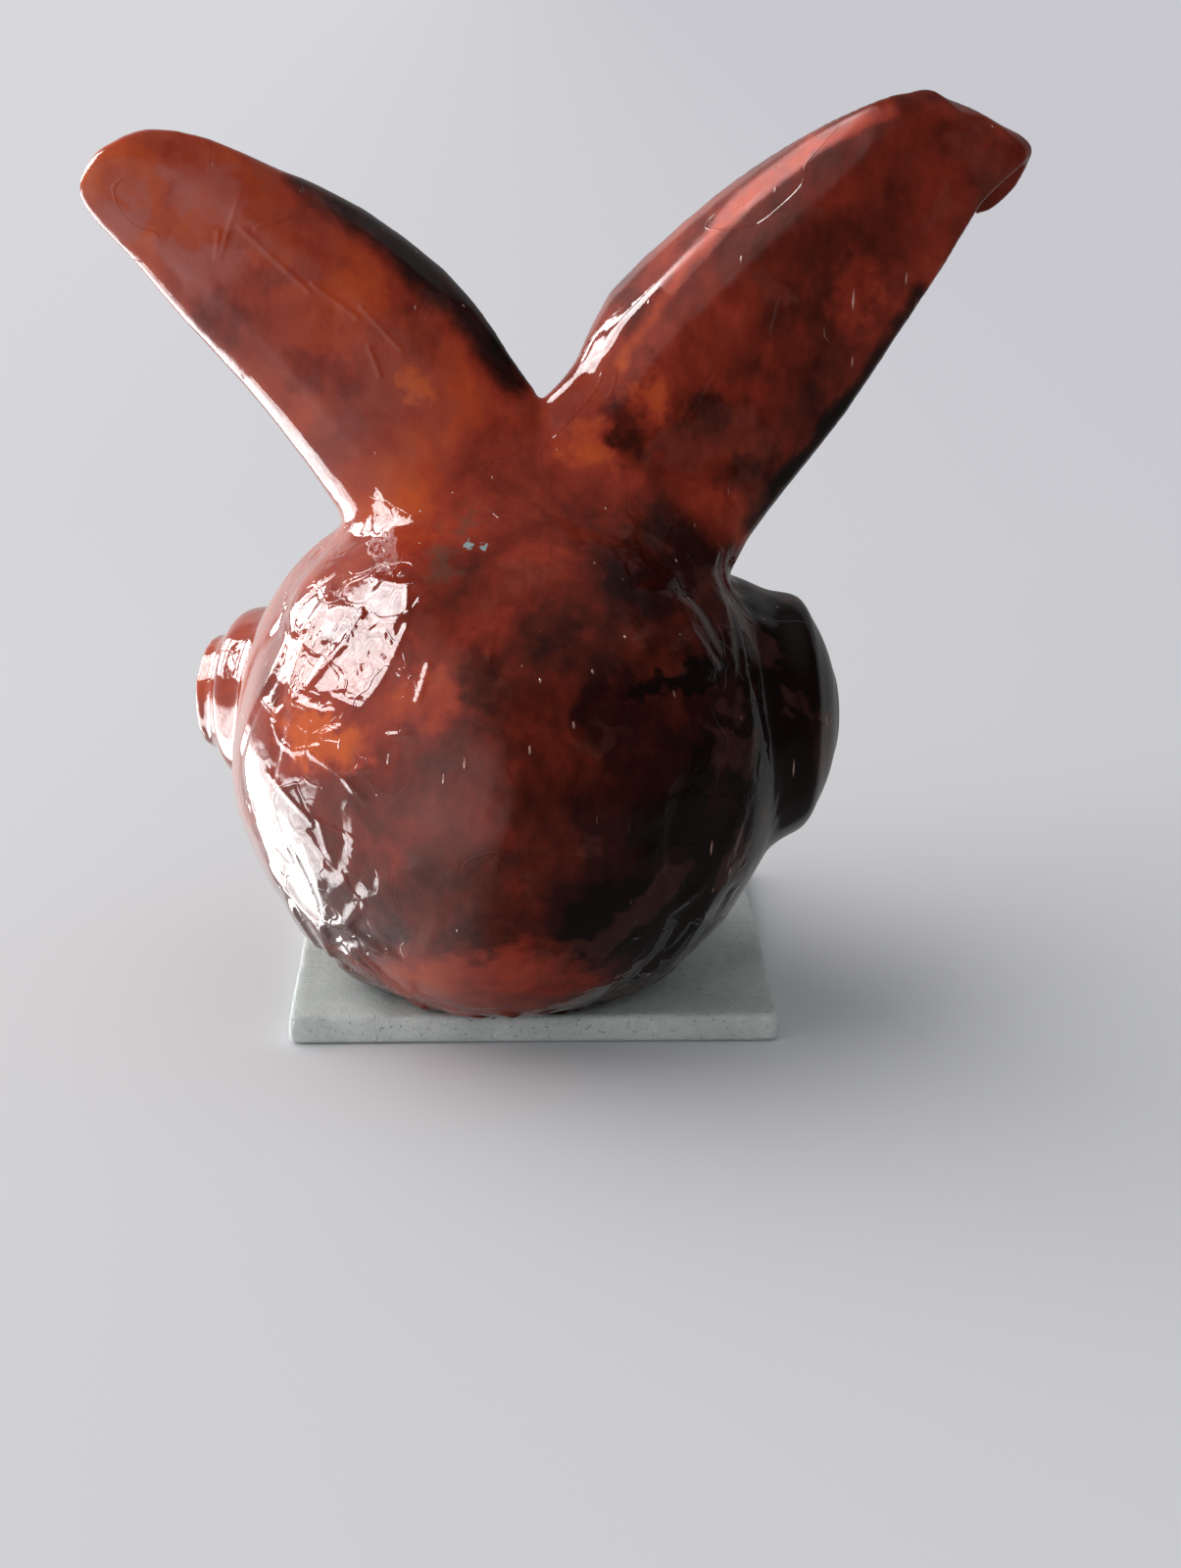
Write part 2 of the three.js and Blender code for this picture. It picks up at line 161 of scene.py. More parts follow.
# The paper form: one surface over the whole head, as the tissue was pasted, then divided at the joints.

def paper_ball():
    """The skin's ball, cut flat at its seat."""
    deselect()
    bpy.ops.mesh.primitive_uv_sphere_add(segments=160, ring_count=80, radius=HEAD_RADIUS, location=HEAD)
    ball = added("paper_form")
    bpy.ops.object.mode_set(mode="EDIT")
    bpy.ops.mesh.select_all(action="SELECT")
    bpy.ops.mesh.bisect(
        plane_co=(0, 0, SEAT_Z), plane_no=(0, 0, 1), use_fill=True, clear_inner=True,
    )
    bpy.ops.object.mode_set(mode="OBJECT")
    return ball


def eye_axis(side):
    """The way an eye disc faces, from its peg to its eye."""
    return (middle(side + "_eye") - middle(side + "_eye_peg")).normalized()


def eye_face(side):
    """The middle of the disc's domed face, at the front of the eye button."""
    axis = eye_axis(side)
    start = middle(side + "_eye")
    reach = max((v.co - start).dot(axis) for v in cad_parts[side + "_eye"].data.vertices)
    return start + axis * reach


EYE_RADIUS = 7.0 * MM
LID_THICKNESS = 1.0 * MM
LID_DEPTH = 2.2 * MM


def lid_ring(side):
    """A rolled paper lid round the eye."""
    axis = eye_axis(side)
    deselect()
    bpy.ops.mesh.primitive_torus_add(
        major_segments=96, minor_segments=20,
        major_radius=EYE_RADIUS + LID_THICKNESS * 0.7, minor_radius=LID_THICKNESS,
        location=eye_face(side) - axis * LID_DEPTH,
        rotation=axis.to_track_quat("Z", "Y").to_euler(),
    )
    return added(side + "_lid_form")


FACET_SIZE = 10.5
FACET_SLOPE = 0.075
FACET_LIMIT = 0.5
PLEAT_SIZE = 17.0
PLEAT_HEIGHT = 0.12 * MM
TISSUE_GRAIN = Vector((-0.42, 0.0, 0.91))

# Creases that stand up from the tissue, as points (x, z) seen from behind, in millimetres.
HEAD_CREASES = (
    ((17.0, 63.5), (20.0, 57.5), (23.0, 53.5), (27.0, 54.0)),
    ((27.5, 66.0), (29.5, 62.5), (33.0, 55.0), (33.5, 51.5)),
    ((23.0, 64.5), (25.5, 60.5), (29.0, 56.5), (32.5, 52.5), (35.0, 49.5), (37.0, 50.5)),
    ((33.0, 52.0), (29.0, 52.0)),
    ((21.5, 68.0), (18.0, 68.0), (15.5, 68.5)),
    ((17.0, 68.0), (17.0, 65.5)),
    ((35.5, 48.5), (34.5, 46.5), (32.5, 46.0), (29.0, 47.5)),
    ((30.0, 46.5), (26.5, 45.0), (22.0, 46.0)),
    ((26.5, 45.0), (22.5, 41.5)),
    ((28.5, 49.0), (26.0, 50.5)),
    ((19.5, 50.5), (17.0, 51.0)),
    ((36.0, 41.5), (30.0, 37.0)),
    ((29.0, 37.5), (28.0, 33.5)),
    ((5.5, 64.0), (6.0, 61.0)),
    ((14.0, 59.5), (15.5, 55.0)),
)
HEAD_CREASE_WIDTH = 0.42
EAR_CREASES = (
    ((-33.0, 98.5), (-34.0, 103.0)),
    ((-21.0, 85.5), (-23.0, 88.5), (-25.5, 93.0)),
    ((-41.0, 86.0), (-43.0, 93.0)),
    ((-30.5, 76.0), (-37.0, 81.5)),
    ((39.5, 112.5), (30.5, 104.0)),
    ((30.0, 105.0), (24.0, 100.5)),
    ((23.5, 102.0), (18.0, 96.0)),
    ((22.5, 96.5), (21.0, 92.5)),
    ((39.5, 117.0), (42.5, 108.5)),
    ((37.5, 112.5), (33.0, 114.0)),
    ((42.5, 112.0), (43.0, 108.5)),
)
EAR_CREASE_WIDTH = 0.26
EAR_CREASE_SHARE = 0.5
CREASE_HEIGHT = 0.15 * MM
CREASE_REACH = 1.3
HEM_REACH = 1.7 * MM
HEM_RAGS = 0.9 * MM


def smooth_step(value, low, high):
    """0 below low, 1 above high, and smooth between."""
    share = min(max((value - low) / (high - low), 0.0), 1.0)
    return share * share * (3 - 2 * share)


def on_the_ball(place):
    """1 on the ball, and little on the ears and discs, which were pasted smoothly."""
    return 1 - 0.9 * smooth_step((place - HEAD).length, HEAD_RADIUS + 2 * MM, HEAD_RADIUS + 7 * MM)


def crumpled(place):
    """How crumpled the tissue is: most on the two flanks of the ball, least on the ears and discs."""
    aside = abs(place.x - HEAD.x)
    flank = smooth_step(aside, 9 * MM, 22 * MM) * (1 - 0.85 * smooth_step(aside, 30 * MM, 35 * MM))
    return (0.22 + 0.78 * flank) * on_the_ball(place)


def facet_height(place):
    """The tilted facets of crumpled tissue, long along its grain, from 0 to 1 with 0.5 as the level."""
    p = place / MM
    p = (p - TISSUE_GRAIN * p.dot(TISSUE_GRAIN) * 0.45) / FACET_SIZE
    p += noise.noise_vector(p * 0.8) * 0.35
    distances, centres = noise.voronoi(p)
    tilt = noise.noise_vector(centres[0] * 7.9) * 1.7
    height = (p - centres[0]).dot(tilt) * FACET_SIZE * FACET_SLOPE
    height *= smooth_step(distances[1] - distances[0], 0.0, 0.25) * crumpled(place)
    return min(max(0.5 + height / FACET_LIMIT, 0.0), 1.0)


def pleat_height(place):
    """How far a pleat of the tissue stands up here, from 0 to 1."""
    p = place / MM / PLEAT_SIZE
    p += noise.noise_vector(p * 1.3 + Vector((5, 2, 8))) * 0.35
    distances, _ = noise.voronoi(p)
    line = 1 - smooth_step(distances[1] - distances[0], 0.01, 0.075)
    patch = smooth_step(noise.noise(place / MM * 0.055 + Vector((3, 40, 9))), -0.25, 0.2)
    return line * patch * crumpled(place)


def from_line(x, z, line):
    """How far a point seen from behind lies from a line of such points, up to the reach of a crease."""
    shortest = CREASE_REACH
    for start, end in zip(line, line[1:]):
        if not min(start[0], end[0]) - CREASE_REACH < x < max(start[0], end[0]) + CREASE_REACH:
            continue
        if not min(start[1], end[1]) - CREASE_REACH < z < max(start[1], end[1]) + CREASE_REACH:
            continue
        along = Vector(end) - Vector(start)
        offset = Vector((x, z)) - Vector(start)
        share = min(max(offset.dot(along) / along.length_squared, 0.0), 1.0)
        shortest = min(shortest, (offset - along * share).length)
    return shortest


def from_creases(place, creases):
    """How far a place on the back of the figure lies from the nearest of these creases."""
    if place.y < HEAD.y - 1 * MM:
        return CREASE_REACH
    return min(from_line(place.x / MM, place.z / MM, line) for line in creases)


def crease_height(place):
    """How far a crease stands up here, from 0 to 1."""
    on_head = math.exp(-(from_creases(place, HEAD_CREASES) / HEAD_CREASE_WIDTH) ** 2)
    on_ears = math.exp(-(from_creases(place, EAR_CREASES) / EAR_CREASE_WIDTH) ** 2)
    return max(on_head, on_ears * EAR_CREASE_SHARE)


def hem_rags(place):
    """How far the loose hem of the tissue sticks out above the slab, from 0 to 1."""
    if place.y < HEAD.y + 12 * MM or place.z > SEAT_Z + 3 * HEM_REACH:
        return 0
    near = math.exp(-((place.z - SEAT_Z) / HEM_REACH) ** 2)
    return near * smooth_step(noise.noise(place / MM * 0.32), -0.05, 0.35)


def near_ball(place):
    """1 on the ball and at the feet of the ears and discs, falling off beyond."""
    height = abs((place - HEAD).length - HEAD_RADIUS)
    return math.exp(-(height / FILLET_REACH) ** 2)


def texture(name, kind, size, **settings):
    """A procedural texture for a displacement, with its grain size in metres."""
    made = bpy.data.textures.new(name, kind)
    made.noise_scale = size
    for key, value in settings.items():
        setattr(made, key, value)
    return made


def refine(piece, wanted):
    """Cuts the faces finer where a rule on their vertices asks for it, and leaves those selected."""
    pick(piece)
    bpy.ops.object.mode_set(mode="EDIT")
    bpy.ops.mesh.select_mode(type="VERT")
    bpy.ops.mesh.select_all(action="DESELECT")
    bpy.ops.object.mode_set(mode="OBJECT")
    for vertex in piece.data.vertices:
        vertex.select = wanted(vertex.co)
    bpy.ops.object.mode_set(mode="EDIT")
    bpy.ops.mesh.subdivide(number_cuts=1)
    bpy.ops.object.mode_set(mode="OBJECT")


def near_a_crease(place):
    """Whether a place lies by one of the placed creases."""
    return from_creases(place, HEAD_CREASES + EAR_CREASES) < CREASE_REACH * 0.8


def lumps(piece):
    """The unevenness of layers pasted by hand: broad lumps, tilted facets, pleats and creases."""
    broad = texture("broad_lumps", "CLOUDS", 19 * MM, noise_depth=1)
    weight_by(piece, "ball", on_the_ball)
    apply_modifier(
        piece, "DISPLACE", texture=broad, strength=1.0 * MM, mid_level=0.5, vertex_group="ball",
    )
    weight_by(piece, "facets", facet_height)
    level = FACET_LIMIT * MM
    apply_modifier(piece, "DISPLACE", strength=2 * level, mid_level=0.0, vertex_group="facets")
    apply_modifier(piece, "DISPLACE", strength=-level, mid_level=0.0)
    weight_by(piece, "pleats", pleat_height)
    apply_modifier(piece, "DISPLACE", strength=PLEAT_HEIGHT, mid_level=0.0, vertex_group="pleats")
    apply_modifier(piece, "SMOOTH", factor=0.5, iterations=2)
    refine(piece, near_a_crease)
    weight_by(piece, "creases", crease_height)
    apply_modifier(piece, "DISPLACE", strength=CREASE_HEIGHT, mid_level=0.0, vertex_group="creases")
    weight_by(piece, "hem", hem_rags)
    apply_modifier(
        piece, "DISPLACE", strength=HEM_RAGS, mid_level=0.0, vertex_group="hem", direction="Y",
    )


def paper_form():
    """The whole pasted surface, still in one body and solid inside."""
    form = paper_ball()
    others = []
    for name in PAPER_NODES + ("left_eye", "right_eye"):
        part = node_copy(name)
        apply_modifier(part, "DISPLACE", strength=GLUE_GAP, mid_level=0.0)
        others.append(part)
    for side in ("left", "right"):
        others.append(lid_ring(side))
    form.data.materials.clear()
    for part in others:
        part.data.materials.clear()
    pick(form, *others)
    bpy.ops.object.join()
    apply_modifier(form, "REMESH", mode="VOXEL", voxel_size=PAPER_CELL)
    weight_by(form, "feet", near_ball)
    apply_modifier(form, "SMOOTH", factor=0.5, iterations=FILLET_PASSES, vertex_group="feet")
    apply_modifier(form, "SMOOTH", factor=0.5, iterations=10)
    form.vertex_groups.clear()
    lumps(form)
    form.vertex_groups.clear()
    return form


def cone_cutter(name, direction, half_angle, depth_share=1.0):
    """A cone from the ball's centre, which meets the ball's surface square on."""
    length = 130 * MM
    direction = direction.normalized()
    turn = direction.to_track_quat("Z", "Y").to_euler()
    deselect()
    bpy.ops.mesh.primitive_cone_add(
        vertices=128, radius1=0, radius2=length * math.tan(half_angle), depth=length,
        location=HEAD + direction * length / 2, rotation=turn,
    )
    cutter = bpy.context.active_object
    cutter.scale.y = depth_share
    return added(name)


def block_cutter(name, low, high):
    """A plain block between two corners."""
    deselect()
    bpy.ops.mesh.primitive_cube_add(size=1, location=(Vector(low) + Vector(high)) / 2)
    cutter = bpy.context.active_object
    cutter.scale = Vector(high) - Vector(low)
    return added(name)


def take(body, cutter, name):
    """Takes what lies inside the cutter off a body, as a piece of its own."""
    inside = copy_of(body, name)
    apply_modifier(inside, "BOOLEAN", operation="INTERSECT", solver="MANIFOLD", object=cutter)
    apply_modifier(body, "BOOLEAN", operation="DIFFERENCE", solver="MANIFOLD", object=cutter)
    delete(cutter)
    return inside


def hollow(form):
    """Opens the room for the foam core."""
    deselect()
    bpy.ops.mesh.primitive_uv_sphere_add(segments=128, ring_count=64, radius=CAVITY_RADIUS, location=HEAD)
    room = added("core_room")
    apply_modifier(form, "BOOLEAN", operation="DIFFERENCE", solver="MANIFOLD", object=room)
    delete(room)


FAR = 200 * MM
MUZZLE_LOW_Z = 18.4 * MM
EARS_TILT = math.radians(-7.5)
EARS_HALF_WIDTH = math.radians(49)
EARS_HALF_DEPTH = math.radians(27)


def divide(form):
    """Divides the surface at the joints and returns the pieces by name."""
    pieces = {}
    for side, foot in (("left", 0.44), ("right", 0.52)):
        toward = middle(side + "_eye") - HEAD
        cutter = cone_cutter("disc_cutter", toward, foot)
        pieces[side + "_disc_paper"] = take(form, cutter, side + "_disc_paper")
    muzzle = Vector((HEAD.x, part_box("left_cheek")[0].y, 22.5 * MM)) - HEAD
    cutter = cone_cutter("muzzle_cutter", muzzle, math.radians(33))
    face = take(form, cutter, "left_cheek_paper")
    below = block_cutter("chin_cutter", (-FAR, -FAR, -FAR), (FAR, FAR, MUZZLE_LOW_Z))
    pieces["chin_paper"] = take(face, below, "chin_paper")
    aside = block_cutter("cheek_cutter", (-FAR, -FAR, -FAR), (HEAD.x, FAR, FAR))
    pieces["right_cheek_paper"] = take(face, aside, "right_cheek_paper")
    pieces["left_cheek_paper"] = face
    upward = Vector((math.sin(EARS_TILT), 0, math.cos(EARS_TILT)))
    share = math.tan(EARS_HALF_DEPTH) / math.tan(EARS_HALF_WIDTH)
    cutter = cone_cutter("ears_cutter", upward, EARS_HALF_WIDTH, share)
    ears = take(form, cutter, "left_ear_paper")
    aside = block_cutter("ear_cutter", (-FAR, -FAR, -FAR), (EAR_SPLIT_X, FAR, FAR))
    pieces["right_ear_paper"] = take(ears, aside, "right_ear_paper")
    pieces["left_ear_paper"] = ears
    pieces["paper_skin"] = form
    return pieces


def eye_button(side):
    """A dark glass-like button with a low dome, let into its disc."""
    axis = eye_axis(side)
    deselect()
    bpy.ops.mesh.primitive_uv_sphere_add(segments=96, ring_count=48, radius=EYE_RADIUS)
    button = bpy.context.active_object
    button.scale = (1, 1, 0.42)
    button.rotation_euler = axis.to_track_quat("Z", "Y").to_euler()
    button.location = eye_face(side) - axis * 2.6 * MM
    return added(side + "_eye_button")


def let_in(disc, button):
    """Cuts the button's room into its disc, a little larger than the button."""
    room = copy_of(button, "eye_room")
    apply_modifier(room, "DISPLACE", strength=0.12 * MM, mid_level=0.0)
    apply_modifier(disc, "BOOLEAN", operation="DIFFERENCE", solver="MANIFOLD", object=room)
    delete(room)


def nose_button():
    """The nose wedge with soft edges."""
    nose = node_copy("nose")
    nose.name = "nose_button"
    nose.data.name = "nose_button"
    nose.data.materials.clear()
    apply_modifier(nose, "DISPLACE", strength=0.25 * MM, mid_level=0.0)
    apply_modifier(nose, "REMESH", mode="VOXEL", voxel_size=0.3 * MM)
    apply_modifier(nose, "SMOOTH", factor=0.5, iterations=24)
    smooth_curves(nose, 60)
    return nose


# The slab.

DOWEL = middle("mounting_dowel")
DOWEL_HOLE = (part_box("mounting_dowel")[1].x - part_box("mounting_dowel")[0].x) / 2 + 0.3 * MM


def off_the_underside(place):
    """Keeps the slab's underside flat and lets the rest move."""
    return min(max((place.z - 0.7 * MM) / (1.6 * MM), 0.0), 1.0)


def plaster_slab():
    """The slab with soft uneven edges, dents and the dowel's hole."""
    deselect()
    bpy.ops.mesh.primitive_cube_add(size=1, location=(slab_low + slab_high) / 2)
    slab = bpy.context.active_object
    slab.scale = slab_high - slab_low
    slab = added("plaster_slab")
    apply_modifier(slab, "BEVEL", width=0.9 * MM, segments=4, limit_method="ANGLE")
    apply_modifier(slab, "REMESH", mode="VOXEL", voxel_size=SLAB_CELL)
    apply_modifier(slab, "SMOOTH", factor=0.5, iterations=4)
    weight_by(slab, "loose", off_the_underside)
    wave = texture("slab_wave", "CLOUDS", 24 * MM, noise_depth=1)
    apply_modifier(slab, "DISPLACE", texture=wave, strength=0.7 * MM, mid_level=0.62, vertex_group="loose")
    dents = texture("slab_dents", "CLOUDS", 4.5 * MM, noise_depth=2)
    apply_modifier(slab, "DISPLACE", texture=dents, strength=0.35 * MM, mid_level=0.55, vertex_group="loose")
    slab.vertex_groups.clear()
    deselect()
    bpy.ops.mesh.primitive_cylinder_add(
        vertices=64, radius=DOWEL_HOLE, depth=20 * MM, location=(DOWEL.x, DOWEL.y, 0),
    )
    hole = added("dowel_hole")
    apply_modifier(slab, "BOOLEAN", operation="DIFFERENCE", solver="MANIFOLD", object=hole)
    delete(hole)
    smooth_curves(slab, 50)
    return slab


# Node helpers.

def screen_colour(red, green, blue):
    """A colour as a screen shows it, 0 to 255, as the linear colour that a shader takes."""
    linear = []
    for value in (red, green, blue):
        share = value / 255
        linear.append(share / 12.92 if share < 0.04 else ((share + 0.055) / 1.055) ** 2.4)
    return (*linear, 1.0)


def put(tree, socket, value):
    """Links another node's output to a socket, or sets the socket's own value."""
    if isinstance(value, bpy.types.NodeSocket):
        tree.links.new(value, socket)
    else:
        socket.default_value = value


def add_node(tree, kind, inputs=None, **settings):
    """A node with its settings, and its inputs set or linked."""
    made = tree.nodes.new(kind)
    for name, value in settings.items():
        setattr(made, name, value)
    for name, value in (inputs or {}).items():
        put(tree, made.inputs[name], value)
    return made


def calc(tree, operation, first, second=0.0, third=0.0, clamp=False):
    """The result of a Math node."""
    values = {0: first, 1: second, 2: third}
    return add_node(tree, "ShaderNodeMath", values, operation=operation, use_clamp=clamp).outputs[0]


def vector_calc(tree, operation, first, second=(0, 0, 0)):
    """The vector that a Vector Math node gives."""
    made = add_node(tree, "ShaderNodeVectorMath", {0: first, 1: second}, operation=operation)
    return made.outputs["Value" if operation in ("DOT_PRODUCT", "LENGTH", "DISTANCE") else "Vector"]


def vector_scale(tree, vector, share):
    """A vector made longer or shorter."""
    made = add_node(tree, "ShaderNodeVectorMath", {0: vector, "Scale": share}, operation="SCALE")
    return made.outputs["Vector"]


def ramp(tree, value, stops, interpolation="LINEAR"):
    """A colour ramp with stops of (place, colour)."""
    made = add_node(tree, "ShaderNodeValToRGB", {0: value})
    bar = made.color_ramp
    bar.interpolation = interpolation
    bar.elements[0].position, bar.elements[0].color = stops[0]
    bar.elements[1].position, bar.elements[1].color = stops[-1]
    for place, tint in stops[1:-1]:
        bar.elements.new(place).color = tint
    return made.outputs["Color"]


def step(tree, value, low, high):
    """0 below low, 1 above high, and smooth between."""
    inputs = {"Value": value, "From Min": low, "From Max": high, "To Min": 0.0, "To Max": 1.0}
    return add_node(tree, "ShaderNodeMapRange", inputs, interpolation_type="SMOOTHSTEP").outputs["Result"]


def fog(tree, place, scale, detail=2.0, roughness=0.5, distortion=0.0, output="Fac"):
    """A noise texture's output."""
    inputs = {
        "Vector": place, "Scale": scale, "Detail": detail,
        "Roughness": roughness, "Distortion": distortion,
    }
    return add_node(tree, "ShaderNodeTexNoise", inputs).outputs[output]


def cells(tree, place, scale, feature="F1", distance="EUCLIDEAN", output="Distance"):
    """A Voronoi texture's output."""
    inputs = {"Vector": place, "Scale": scale}
    made = add_node(tree, "ShaderNodeTexVoronoi", inputs, feature=feature, distance=distance)
    return made.outputs[output]


def blend(tree, factor, first, second, mode="MIX"):
    """Two colours mixed by a factor."""
    made = add_node(tree, "ShaderNodeMix", data_type="RGBA", blend_type=mode)
    put(tree, made.inputs[0], factor)
    put(tree, made.inputs[6], first)
    put(tree, made.inputs[7], second)
    return made.outputs[2]


def blend_value(tree, factor, first, second):
    """Two numbers mixed by a factor."""
    made = add_node(tree, "ShaderNodeMix", data_type="FLOAT")
    put(tree, made.inputs[0], factor)
    put(tree, made.inputs[2], first)
    put(tree, made.inputs[3], second)
    return made.outputs[0]


def millimetres(tree, turn=(0, 0, 0), stretch=(1, 1, 1)):
    """The place on the object in millimetres, turned and stretched for a pattern."""
    place = add_node(tree, "ShaderNodeTexCoord").outputs["Object"]
    scale = tuple(s / MM for s in stretch)
    inputs = {"Vector": place, "Scale": scale, "Rotation": turn}
    return add_node(tree, "ShaderNodeMapping", inputs, vector_type="POINT").outputs["Vector"]


def new_material(name):
    """A material with a bare Principled shader; returns it with its tree and shader."""
    made = bpy.data.materials.new(name)
    made.use_nodes = True
    tree = made.node_tree
    return made, tree, tree.nodes["Principled BSDF"]


def new_group(name, inputs, outputs):
    """A shader node group with named sockets of (name, type)."""
    made = bpy.data.node_groups.new(name, "ShaderNodeTree")
    for socket, kind in inputs:
        made.interface.new_socket(socket, in_out="INPUT", socket_type=kind)
    for socket, kind in outputs:
        made.interface.new_socket(socket, in_out="OUTPUT", socket_type=kind)
    return made, made.nodes.new("NodeGroupInput").outputs, made.nodes.new("NodeGroupOutput").inputs


def use_group(tree, group, inputs):
    """Places a node group with its own values."""
    made = tree.nodes.new("ShaderNodeGroup")
    made.node_tree = group
    for name, value in inputs.items():
        put(tree, made.inputs[name], value)
    return made.outputs


# Materials.

def thin_lines_group():
    """Thin raised lines along the level lines of a noise, broken up by a second noise."""
    group, given, result = new_group(
        "thin_lines",
        [("Place", "NodeSocketVector"), ("Scale", "NodeSocketFloat"), ("Width", "NodeSocketFloat"),
         ("Cover", "NodeSocketFloat")],
        [("Height", "NodeSocketFloat")],
    )
    sway = fog(group, given["Place"], given["Scale"], 1.5, 0.5, 0.4)
    away = calc(group, "ABSOLUTE", calc(group, "SUBTRACT", sway, 0.5))
    line = calc(group, "SUBTRACT", 1.0, calc(group, "DIVIDE", away, given["Width"]), clamp=True)
    other_place = vector_calc(group, "ADD", given["Place"], (17.0, 5.0, 29.0))
    patch = fog(group, other_place, calc(group, "MULTIPLY", given["Scale"], 1.3), 1.0)
    low = calc(group, "SUBTRACT", 1.0, given["Cover"])
    high = calc(group, "ADD", low, 0.06)
    kept = step(group, patch, low, high)
    put(group, result["Height"], calc(group, "MULTIPLY", line, kept))
    return group


def crumple_group():
    """Small tilted facets of tissue with thin raised edges between some of them. Heights are in millimetres."""
    group, given, result = new_group(
        "crumpled_tissue",
        [("Place", "NodeSocketVector"), ("Size", "NodeSocketFloat"), ("Slope", "NodeSocketFloat"),
         ("Edge", "NodeSocketFloat")],
        [("Height", "NodeSocketFloat"), ("Edges", "NodeSocketFloat")],
    )
    scale = calc(group, "DIVIDE", 1.0, given["Size"])
    sway = fog(group, given["Place"], calc(group, "MULTIPLY", scale, 0.7), 2, output="Color")
    sway = vector_calc(group, "SUBTRACT", sway, (0.5, 0.5, 0.5))
    sway = vector_scale(group, sway, calc(group, "MULTIPLY", given["Size"], 1.5))
    place = vector_calc(group, "ADD", given["Place"], sway)
    cell = add_node(group, "ShaderNodeTexVoronoi", {"Vector": place, "Scale": scale}, feature="F1").outputs
    border = cells(group, place, scale, "DISTANCE_TO_EDGE")
    tilt = vector_calc(group, "SUBTRACT", cell["Color"], (0.5, 0.5, 0.5))
    away = vector_calc(group, "SUBTRACT", place, cell["Position"])
    plane = calc(group, "MULTIPLY", vector_calc(group, "DOT_PRODUCT", away, tilt), given["Slope"])
    plane = calc(group, "MULTIPLY", plane, step(group, border, 0.0, 0.16))
    some = step(group, fog(group, given["Place"], calc(group, "MULTIPLY", scale, 0.6), 1), 0.44, 0.52)
    thin = calc(group, "DIVIDE", 0.28, given["Size"])
    edge = calc(group, "MULTIPLY", step(group, border, thin, 0.0), some)
    put(group, result["Edges"], edge)
    put(group, result["Height"], calc(group, "MULTIPLY_ADD", edge, given["Edge"], plane))
    return group


def dashes_group():
    """Short thin strokes that stand up from the varnish, like hairs of a brush."""
    group, given, result = new_group(
        "brush_hairs",
        [("Place", "NodeSocketVector"), ("Spacing", "NodeSocketFloat"), ("Share", "NodeSocketFloat")],
        [("Height", "NodeSocketFloat")],
    )
    scale = calc(group, "DIVIDE", 1.0, given["Spacing"])
    cell = add_node(group, "ShaderNodeTexVoronoi", {"Vector": given["Place"], "Scale": scale}, feature="F1").outputs
    chance = add_node(group, "ShaderNodeSeparateColor", {0: cell["Color"]}).outputs[0]
    kept = calc(group, "LESS_THAN", chance, given["Share"])
    stroke = step(group, cell["Distance"], 0.11, 0.03)
    put(group, result["Height"], calc(group, "MULTIPLY", stroke, kept))
    return group


# Pools of lighter and darker tone seen from behind: their middle (x, z) and reach (across, up) in millimetres, and
# how much lighter or darker than their surroundings they are. They are partly the paint's own blotches and partly
# painted light and shade, most of all the darker pools on the right and low on the ball.
PAINT_AND_SHADE_POOLS = (
    ((-19.5, 56.0), (10.0, 2.2), -0.30),
    ((-16.0, 70.0), (14.0, 8.0), -0.16),
    ((-13.0, 25.0), (12.0, 9.0), -0.26),
    ((7.5, 58.5), (3.5, 6.0), -0.12),
    ((-2.0, 64.0), (6.0, 7.0), -0.12),
    ((9.0, 21.0), (4.0, 4.0), -0.14),
    ((-13.0, 86.0), (5.0, 6.0), -0.24),
    ((-31.0, 78.0), (7.0, 5.0), -0.20),
    ((-24.0, 87.5), (5.0, 4.5), -0.18),
    ((-14.0, 98.0), (3.5, 9.0), -0.12),
    ((43.0, 99.5), (5.0, 6.0), -0.10),
    ((29.0, 92.5), (8.0, 5.0), -0.16),
    ((15.5, 99.0), (4.0, 7.0), -0.10),
    ((28.5, 48.5), (9.0, 5.0), 0.40),
    ((14.0, 55.0), (6.0, 5.0), 0.20),
    ((2.0, 49.0), (8.0, 6.0), 0.08),
    ((-5.0, 52.0), (15.0, 27.0), -0.09),
    ((-8.0, 84.0), (5.0, 5.0), 0.20),
    ((-16.0, 89.0), (4.0, 4.5), 0.24),
    ((-36.0, 96.0), (5.0, 6.0), 0.06),
    ((-44.0, 103.0), (4.0, 8.0), 0.16),
    ((15.5, 91.0), (3.0, 3.0), 0.24),
    ((24.0, 104.0), (6.0, 5.0), 0.10),
    ((35.0, 110.0), (6.0, 5.0), 0.12),
    ((6.0, 13.0), (22.0, 13.0), 0.42),
)

# Lines on the ears seen from behind, as points (x, z) in millimetres: the far rim of the left ear and the outer edge
# of the right ear are painted shade, the crest of the right ear carries a painted highlight, and the dull crest is a
# stretch of rougher varnish.
FAR_RIM_SHADE = ((31.0, 119.0), (19.4, 110.5), (9.0, 101.0), (2.5, 92.0))
RIGHT_EDGE_SHADE = ((-31.0, 71.0), (-46.5, 91.0), (-53.5, 103.0))
DULL_CREST = ((-19.0, 104.5), (-29.2, 115.9), (-38.3, 123.3), (-46.0, 127.6))
CREST_HIGHLIGHT = ((-12.0, 94.0), (-21.2, 107.2), (-29.2, 115.7), (-38.3, 123.1), (-48.0, 128.3))

# The bare spots on the crown where the paint has flaked off, seen from behind.
FLECKS = ((9.6, 73.4), (7.6, 73.3))
FLECK_REACH = (0.75, 0.45)
SMUDGES = ((12.3, 71.2), (8.9, 74.9))

# A painted reflection: a pale pink sheen over the outer half of the left ear's back.
PAINTED_SHEEN_MIDDLE = (48.0, 112.0)
PAINTED_SHEEN_REACH = (15.0, 12.0)


